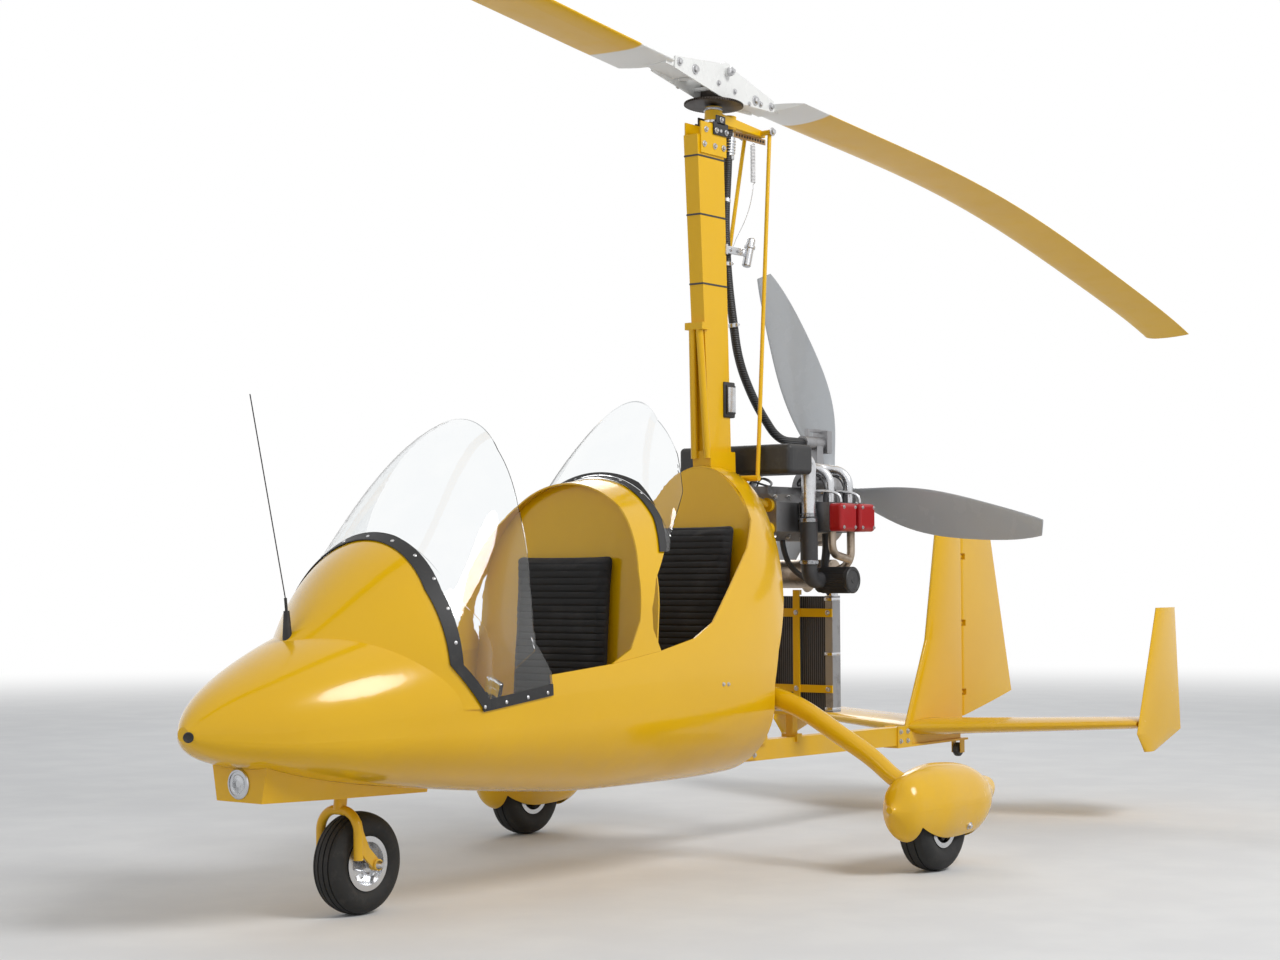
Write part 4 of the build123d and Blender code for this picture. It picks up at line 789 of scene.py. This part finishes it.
def coil(spot, length, radius, wire, turns):
    """Tension spring hanging down from a point, with a hook at each end."""
    unselect()
    bpy.ops.mesh.primitive_circle_add(
        vertices=8, radius=wire, location=(radius, 0, 0), rotation=(math.pi / 2, 0, 0)
    )
    obj = bpy.context.object
    bpy.ops.object.transform_apply(location=True, rotation=True, scale=True)
    screw = obj.modifiers.new("turns", "SCREW")
    screw.angle = math.tau
    screw.screw_offset = length / turns
    screw.iterations = turns
    screw.steps = 16
    screw.render_steps = 16
    apply_last(obj)
    bpy.ops.object.mode_set(mode="EDIT")
    leave_edit()
    knots = [(radius, 0, 0), (radius * 0.6, 0.002, 0.004), (0, 0, 0.006), (0, 0, 0.022)]
    hooks = []
    for end, way in ((0, -1), (length, 1)):
        hooks.append(line([(x, y, end + way * up) for x, y, up in knots], wire))
    x, y, z = spot
    return placed(join([obj] + hooks), Matrix.Translation((x, y, z - length)))


def dress_spring():
    """Trim spring with the wire from its lower hook to a hose band, and its perforated strip, its holes
    shown as dark discs of painted shade.
    """
    spring = coil((0, 0.224, 2.395), length=0.130, radius=0.0075, wire=0.0014, turns=26)
    wire = [(0, 0.224, 2.244), (0, 0.212, 2.190), (0, 0.165, 2.110), (0, 0.104, 2.040), (0, 0.078, 1.972)]
    finish_piece(join([spring, line(wire, 0.0013)]), "trim_spring", steel_metal)
    strip = block((-0.002, 0.110, 2.405), (0.002, 0.300, 2.425), 0.0008, 1)
    # Dark solid discs on both faces stand in for the strip's holes: painted shade.
    hole_shade_disc = turned([(0, 0.0048), (0.0011, 0.0048), (0.0014, 0.0040)], 12)
    holes = repeat(hole_shade_disc, both_sides(0.002, [(0.125 + 0.016 * k, 2.415) for k in range(11)]))
    finish_piece(strip, "trim_strip", bronze_metal)
    finish_piece(holes, "trim_strip_hole_shade", dark_steel)


def dress_strobe():
    """Strobe lamp on an arm that is bolted to the mast's rear face."""
    steps = [
        (-0.050, 0.012), (-0.046, 0.0155), (0.012, 0.0155), (0.016, 0.019), (0.024, 0.019),
        (0.026, 0.015), (0.046, 0.015), (0.052, 0.011), (0.055, 0.005),
    ]
    strobe = placed(turned(steps, 28), aim((0.030, 0.152, 2.010), (0.05, 0.25, 0.97)))
    finish_piece(strobe, "strobe_lamp", bright_metal)
    arm = join([
        block((0.024, 0.024, 1.995), (0.031, 0.140, 2.021), 0.002, 2),
        block((-0.034, 0.016, 1.990), (0.034, 0.026, 2.026), 0.002, 2),
    ])
    finish_piece(arm, "strobe_arm", bright_metal)
    bolts = [aim((0.0312, y, 2.008), (1, 0, 0)) for y in (0.045, 0.085)]
    bolt_set("strobe_arm_bolts", 0.010, 0.006, bolts)


def dress_regulator():
    """Black box round the mast's rear edge, with a bright cover on its port side."""
    case = join([
        block((-0.030, 0.000, 1.440), (0.034, 0.062, 1.560), 0.005, 3),
        block((0.034, 0.006, 1.452), (0.040, 0.056, 1.548), 0.002, 2),
    ])
    finish_piece(case, "regulator_box", case_plastic)
    cover = block((0.0402, 0.010, 1.458), (0.0425, 0.052, 1.542), 0.001, 2)
    finish_piece(cover, "regulator_cover", bright_metal)


def dress_drive_hose():
    """Bands on the drive hose, and the ridged ferrule where it enters the pinion housing."""
    # Columns: place and heading.
    bands = [
        ((0, 0.083, 2.330), (0, 0.06, 1)), ((0, 0.062, 2.180), (0, 0.25, 1)),
        ((0, 0.064, 1.965), (0, -0.03, 1)), ((0, 0.098, 1.760), (0, -0.2, 1)),
    ]
    made = [band(spot, heading, 0.0155) for spot, heading in bands]
    finish_piece(join(made), "drive_hose_bands", bright_metal)
    sleeve, ridge = 0.0185, 0.0215
    steps = [(-0.062, 0.0158), (-0.060, sleeve)]
    for k in range(5):
        low = -0.052 + 0.010 * k
        steps += [(low, sleeve), (low + 0.001, ridge), (low + 0.005, ridge), (low + 0.006, sleeve)]
    steps += [(0.004, sleeve), (0.006, 0.0158)]
    ferrule = placed(turned(steps, 28), aim((0, 0.086, 2.395), (0, 0.10, 1)))
    finish_piece(ferrule, "drive_hose_ferrule", bright_metal)


def dress_gimbal():
    """Black brackets that carry the gimbal over the mast's cheeks."""
    plates = []
    for s in (-1, 1):
        x0, x1 = sorted((s * 0.0344, s * 0.0400))
        plates.append(block((x0, -0.062, 2.384), (x1, 0.022, 2.428), 0.0022, 2))
        plates.append(block((x0, -0.046, 2.420), (x1, 0.006, 2.452), 0.0022, 2))
    finish_piece(join(plates), "gimbal_brackets", case_plastic)
    spots = [(-0.048, 2.398), (0.008, 2.398), (-0.020, 2.438)]
    bolt_set("gimbal_bolts", 0.013, 0.008, both_sides(0.0402, spots))


MAST_FOOT = 0.360
MAST_RISE = 2.015


def dress_ties():
    """Thin black ties round the tapered mast that hold the cables."""
    skin, grip, rise = 0.0016, 0.001, 0.003
    ties = []
    for z in (2.305, 2.110, 1.880):
        t = (z - MAST_FOOT) / MAST_RISE
        half, front, rear = 0.0245 + 0.0035 * t, -0.022 - 0.119 * t, 0.078 - 0.069 * t
        # Front, rear, starboard and port runs. Columns: low x, low y, high x, high y.
        runs = [
            (-half - skin, front - skin, half + skin, front + grip),
            (-half - skin, rear - grip, half + skin, rear + skin),
            (-half - skin, front, -half + grip, rear),
            (half - grip, front, half + skin, rear),
        ]
        ties += [block((x0, y0, z - rise), (x1, y1, z + rise), 0.0006, 1) for x0, y0, x1, y1 in runs]
    finish_piece(join(ties), "mast_ties", hose_rubber)


dress_hub()
dress_rotor_head()
dress_spring()
dress_strobe()
dress_regulator()
dress_drive_hose()
dress_gimbal()
dress_ties()


# Pod fittings
# Arches of the two screens' trims. Columns: y, half width, spring z, crown z, angles of the screws.
ARCHES = [
    (-1.655, 0.33, 0.68, 1.027, range(-6, 187, 16)),
    (-0.656, 0.35, 0.82, 1.224, range(-10, 191, 14)),
]
SCREW_SINK = 0.0004


def dress_pod():
    """Screws in the screens' trims, the nose grommet and the landing lamp's bezel."""
    poses = []
    for y, half, spring, crown, angles in ARCHES:
        for angle in angles:
            # A line of sight towards the pod's middle from 0.25 m outside the arch.
            t = math.radians(angle)
            spot = Vector((math.cos(t) * (half + 0.25), y, spring + math.sin(t) * (crown - spring + 0.25)))
            poses += on_solid("screen_trims", spot, Vector((0, y, spring)) - spot, SCREW_SINK)
    for y, z in ((-1.565, 0.565), (-1.480, 0.574), (-1.395, 0.583), (-1.315, 0.592)):
        for side in (-1, 1):
            poses += on_solid("screen_trims", (side * 0.9, y, z), (-side, 0, 0), SCREW_SINK)
    finish_piece(repeat(dome_screw(0.011, 0.003), poses), "trim_screws", steel_metal)
    steps = [(-0.004, 0.0135), (0.002, 0.0135), (0.0026, 0.011), (0.0008, 0.0085), (0.0004, 0.004)]
    grommet = repeat(turned(steps, 24), on_solid("hull_shell", (0.020, -2.9, 0.516), (0, 1, 0), 0))
    finish_piece(grommet, "nose_grommet", trim_rubber)
    steps = [(0.000, 0.0395), (0.004, 0.0395), (0.0065, 0.0365), (0.0065, 0.0325), (0.004, 0.0315)]
    bezel = placed(turned(steps, 36), aim((0, -2.1215, 0.385), (0, -1, 0)))
    finish_piece(bezel, "lamp_bezel", bright_metal)


PANEL_Y = -1.6640
# Columns: x, z, radius.
DIALS = [
    (-0.16, 0.900, 0.040), (-0.055, 0.915, 0.040), (0.055, 0.915, 0.040), (0.16, 0.900, 0.040),
    (-0.11, 0.810, 0.029), (-0.037, 0.812, 0.029), (0.037, 0.812, 0.029), (0.11, 0.810, 0.029),
]


def dress_panel():
    """Round dials with bezels, ticks and needles, and a row of switches, on the panel's rear face."""
    bezels, marks = [], []
    for x, z, r in DIALS:
        centre = aim((x, PANEL_Y, z), (0, 1, 0))
        steps = [(0, r), (0.005, r), (0.007, r * 0.94), (0.004, r * 0.88), (0.0015, r * 0.87)]
        bezels.append(placed(turned(steps, 36), centre))
        for k in range(10):
            tick = block((-0.0008, r * 0.66, 0.0018), (0.0008, r * 0.82, 0.0026), 0.0002, 1)
            marks.append(placed(tick, centre @ Matrix.Rotation(math.tau * k / 12 + 0.5, 4, "Z")))
        needle = block((-0.0011, -r * 0.15, 0.0026), (0.0011, r * 0.70, 0.0036), 0.0003, 1)
        marks.append(placed(needle, centre @ Matrix.Rotation(2.2 + 3 * x, 4, "Z")))
    finish_piece(join(bezels), "dial_bezels", case_plastic)
    finish_piece(join(marks), "dial_marks", bar_paint)
    steps = [(0, 0.006), (0.003, 0.006), (0.0045, 0.0035), (0.016, 0.0022), (0.019, 0.003), (0.021, 0.0015)]
    poses = [aim((-0.12 + 0.04 * k, PANEL_Y, 0.745), (0, 1, 0.15)) for k in range(7)]
    finish_piece(repeat(turned(steps, 12), poses), "panel_switches", bright_metal)


dress_pod()
dress_panel()


# Belts
def belt(pose):
    """Short webbing end and its buckle, drawn up from a pose."""
    reach = 0.085
    web = block((-0.024, -0.0015, 0), (0.024, 0.0015, reach), 0.0006, 1)
    tip = block((-0.027, -0.008, reach - 0.012), (0.027, 0.008, reach + 0.040), 0.004, 3)
    slot = block((-0.018, -0.0095, reach + 0.004), (0.018, 0.0095, reach + 0.014), 0.002, 2)
    return placed(web, pose), placed(join([tip, slot]), pose)


def dress_belts():
    """Belt ends that lie over both sides of both cushions."""
    webs, buckles = [], []
    for y, z in ((-0.930, 0.495), (-0.300, 0.525)):
        for side in (-1, 1):
            inward = Matrix.Rotation(-side * math.radians(28), 4, "Y")
            forward = Matrix.Rotation(math.radians(18), 4, "X")
            web, buckle = belt(Matrix.Translation((side * 0.19, y, z)) @ inward @ forward)
            webs.append(web)
            buckles.append(buckle)
    finish_piece(join(webs), "belt_webbing", seat_cloth)
    finish_piece(join(buckles), "belt_buckles", bright_metal)


dress_belts()


# Engine
CYLINDER_Y = (0.379, 0.499)
SHAFT_Z = 1.216
PLUG_X = 0.205
CARB_X, CARB_Y = 0.105, 0.345
COVER_BOLTS = ((-0.036, -0.036), (0.036, -0.036), (-0.036, 0.032), (0.036, 0.032))


def round_the_shaft(count, radius, y, start):
    """Poses that face aft, evenly round the propeller's axis."""
    poses = []
    for k in range(count):
        a = math.tau * k / count + start
        poses.append(aim((radius * math.cos(a), y, SHAFT_Z + radius * math.sin(a)), (0, 1, 0)))
    return poses


def dress_plugs():
    """Two plug caps on each cylinder, with their leads."""
    steps = [(0, 0.0095), (0.018, 0.0095), (0.024, 0.0075), (0.040, 0.0070), (0.044, 0.0050)]
    poses, routes = [], []
    for s in (-1, 1):
        for y in CYLINDER_Y:
            for dy in (-0.028, 0.028):
                poses.append(aim((s * PLUG_X, y + dy, 1.1605), (0, 0, 1)))
                routes.append([
                    (s * PLUG_X, y + dy, 1.200), (s * 0.200, y + dy, 1.240),
                    (s * 0.150, y + dy * 0.5 - 0.02, 1.262), (s * 0.085, y - 0.03, 1.235),
                    (s * 0.060, 0.40, 1.222),
                ])
    finish_piece(repeat(turned(steps, 14), poses), "plug_caps", hose_rubber)
    leads = [line(knots, 0.0036) for knots in routes]
    finish_piece(join(leads), "ignition_leads", hose_rubber)


def dress_carburettors():
    """Carburettors, the pipes over the cylinders and the bands on the air hose."""
    bright = []
    for s in (-1, 1):
        for y in CYLINDER_Y:
            knots = [
                (s * 0.262, y - 0.02, 1.160), (s * 0.262, y - 0.02, 1.185),
                (s * 0.22, y - 0.04, 1.20), (s * 0.13, y - 0.06, 1.195),
            ]
            bright.append(line(knots, 0.005))
    steps = [
        (-0.030, 0.021), (-0.026, 0.026), (0.004, 0.026), (0.006, 0.031),
        (0.030, 0.031), (0.034, 0.027), (0.040, 0.027), (0.043, 0.022),
    ]
    bowls = repeat(turned(steps, 28), [aim((s * CARB_X, CARB_Y, 1.305), (0, 0, 1)) for s in (-1, 1)])
    finish_piece(bowls, "carburettor_bowls", cast_metal)
    throat = turned([(-0.040, 0.021), (0.040, 0.021), (0.042, 0.019)], 24)
    bright.append(repeat(throat, [aim((s * CARB_X, CARB_Y, 1.300), (0, 1, 0)) for s in (-1, 1)]))
    # Each band is drawn twice in one place. Once would do, but they would look brighter.
    for z, radius in ((1.115, 0.0255), (1.098, 0.0305), (0.955, 0.0305)) * 2:
        bright.append(band((0.176, 0.290, z), (0, 0, 1), radius))
    finish_piece(join(bright), "engine_lines_and_bands", bright_metal)


def dress_casings():
    """Bolts on the rocker covers, along the crankcase's seams and round the gearbox."""
    spots = [(y + dy, 1.110 + dz) for y in CYLINDER_Y for dy, dz in COVER_BOLTS]
    poses = [pose @ Matrix.Scale(0.62, 4) for pose in both_sides(0.2836, spots)]
    for y in (0.215, 0.300, 0.385, 0.470, 0.555):
        for s in (-1, 1):
            poses.append(aim((s * 0.0885, y, 1.1760), (s * 0.65, 0, 0.76)))
            poses.append(aim((s * 0.0835, y, 1.0440), (s * 0.55, 0, -0.84)))
    poses += [pose @ Matrix.Scale(0.7, 4) for pose in round_the_shaft(10, 0.074, 0.6502, 0.3)]
    bolt_set("engine_bolts", 0.013, 0.008, poses)
    steps = [(0, 0.034), (0.075, 0.034), (0.080, 0.029), (0.086, 0.029), (0.088, 0.024)]
    oil_filter = placed(turned(steps, 32), aim((-0.098, 0.470, 1.070), (-0.5, -0.15, -0.85)))
    finish_piece(oil_filter, "oil_filter", case_plastic)
    steps = [(-0.060, 0.028), (-0.057, 0.031), (0.046, 0.031), (0.048, 0.026), (0.060, 0.024)]
    starter = placed(turned(steps, 28), aim((0.078, 0.485, 1.235), (0, 1, 0)))
    finish_piece(starter, "starter_motor", case_metal)


def dress_coolant():
    """Hoses from the engine down to the necks on the radiator's tanks."""
    down = [
        (0.165, 0.415, 1.055), (0.168, 0.415, 1.000), (0.150, 0.420, 0.930), (0.165, 0.425, 0.870),
        (0.180, 0.428, 0.840),
    ]
    hoses = [line([(s * x, y, z) for x, y, z in down], 0.0145, 16) for s in (1, -1)]
    thin = [
        (0.060, 0.300, 1.030), (0.070, 0.300, 0.960), (0.110, 0.350, 0.900), (0.170, 0.400, 0.870),
        (0.178, 0.420, 0.842),
    ]
    hoses.append(line(thin, 0.010, 14))
    finish_piece(join(hoses), "coolant_hoses", hose_rubber)
    neck = turned([(0, 0.020), (0.012, 0.020), (0.014, 0.017), (0.030, 0.017), (0.032, 0.0185)], 24)
    necks = repeat(neck, [aim((s * 0.180, 0.428, 0.838), (0, 0, 1)) for s in (-1, 1)])
    finish_piece(necks, "radiator_necks", bright_metal)


def dress_radiator():
    """Beads round the end tanks and the bolts of the two straps."""
    beads = []
    for s in (-1, 1):
        low, high = s * 0.1795 - 0.0158, s * 0.1795 + 0.0158
        for z in (0.452, 0.640, 0.828):
            beads.append(block((low, 0.3995, z - 0.006), (high, 0.4545, z + 0.006), 0.002, 2))
    finish_piece(join(beads), "radiator_beads", bright_metal)
    # Columns: x, y of the face under the head.
    faces = [(-0.180, 0.3968), (-0.053, 0.3922), (0.053, 0.3922), (0.180, 0.3968)]
    poses = [aim((x, y, z), (0, -1, 0)) for z in (0.520, 0.7815) for x, y in faces]
    bolt_set("radiator_strap_bolts", 0.012, 0.007, poses)


FILTER = Vector((0, 0.396, 0.894))
PLEATS = 44


def dress_filter():
    """Pleats round the air filter's barrel and its moulded end cap."""
    fold = block((0.162, 0.0420, -0.0015), (0.272, 0.0455, 0.0015), 0.0012, 1)
    axis = Matrix.Translation(FILTER)
    poses = [axis @ Matrix.Rotation(math.tau * k / PLEATS, 4, "X") for k in range(PLEATS)]
    finish_piece(repeat(fold, poses), "filter_pleats", case_plastic)
    steps = [
        (0, 0.0455), (0.010, 0.0455), (0.013, 0.042), (0.013, 0.034), (0.010, 0.031), (0.010, 0.012),
        (0.012, 0.010),
    ]
    cap = placed(turned(steps, 36), axis @ aim((0.2745, 0, 0), (1, 0, 0)))
    finish_piece(cap, "filter_cap", case_plastic)


def dress_prop():
    """Clamp bolts on the hub's plate and the cap over its centre."""
    bolt_set("prop_bolts", 0.014, 0.009, round_the_shaft(6, 0.042, 0.7502, 0.26), "propeller")
    cap = turned([(0.760, 0.0295), (0.766, 0.0295), (0.770, 0.025), (0.771, 0.010)], 32)
    aft = Matrix.Translation((0, 0, SHAFT_Z)) @ Matrix.Rotation(-math.pi / 2, 4, "X")
    finish_piece(placed(cap, aft), "prop_hub_cap", bright_metal, "propeller")


dress_plugs()
dress_carburettors()
dress_casings()
dress_coolant()
dress_radiator()
dress_filter()
dress_prop()


# Wheels and gear
# Columns: name, body, centre, side of the valve.
WHEELS = [
    ("nose", "nose_wheel", (0, -1.695, 0.139), 1),
    ("main_left", "main_wheel_left", (0.827, -0.024, 0.146), 1),
    ("main_right", "main_wheel_right", (-0.827, -0.024, 0.146), -1),
]


def dress_wheel(tag, body, centre, side):
    """Rim bolts on both faces of a wheel, and its valve."""
    x, y, z = centre
    poses = []
    for k in range(5):
        a = math.tau * (k + 0.5) / 5
        for s in (-1, 1):
            poses.append(aim((x + s * 0.0045, y + 0.046 * math.cos(a), z + 0.046 * math.sin(a)), (s, 0, 0)))
    bolt_set(tag + "_rim_bolts", 0.011, 0.007, poses, body)
    stem = turned([(0, 0.0032), (0.016, 0.0032), (0.018, 0.0042), (0.028, 0.0042), (0.030, 0.0026)], 12)
    valve = placed(stem, aim((x + side * 0.022, y, z + 0.0570), (side * 0.75, 0, -0.66)))
    finish_piece(valve, tag + "_valve", trim_rubber, body)


for wheel in WHEELS:
    dress_wheel(*wheel)


def dress_gear():
    """Bolts on the spats, the pod's sides, the base frame and the tail bracket."""
    poses = []
    for side in (-1, 1):
        for pose in on_solid("spats", (side * 1.2, 0.060, 0.135), (-side, 0, 0), 0.0003):
            poses.append(pose @ Matrix.Scale(1.25, 4))
        for y, z in ((-0.470, 0.579), (-0.443, 0.578)):
            for pose in on_solid("hull_shell", (side * 0.9, y, z), (-side, 0, 0), 0.0003):
                poses.append(pose @ Matrix.Scale(0.7, 4))
    poses += both_sides(0.0334, [(y, z) for y in (-0.090, 0.010, 0.110, 0.160) for z in (0.305, 0.340)])
    poses += both_sides(0.0314, [(y, z) for y in (1.126, 1.176) for z in (0.290, 0.325)])
    bolt_set("airframe_bolts", 0.013, 0.008, poses)


TAB_Z = 0.618
TAB_SPAN = 0.330


def dress_rudder():
    """Fixed trim tab on the upper trailing edge, with its rivets."""
    tab = block((-0.0012, 0.0, 0.0), (0.0012, 0.048, TAB_SPAN), 0.0005, 1)
    lean = 0.92 * math.atan2(2.012 - 1.925, TAB_SPAN)
    pose = Matrix.Translation((0, 1.934, TAB_Z)) @ Matrix.Rotation(lean, 4, "X")
    finish_piece(placed(tab, pose), "trim_tab", bright_metal, "rudder")
    rows = [(k + 0.5) / 7 for k in range(7)]
    spots = [(1.944 - 0.085 * t, TAB_Z + TAB_SPAN * t) for t in rows]
    rivets = repeat(dome_screw(0.006, 0.0016), both_sides(0.0014, spots))
    finish_piece(rivets, "trim_tab_rivets", steel_metal, "rudder")


dress_gear()
dress_rudder()
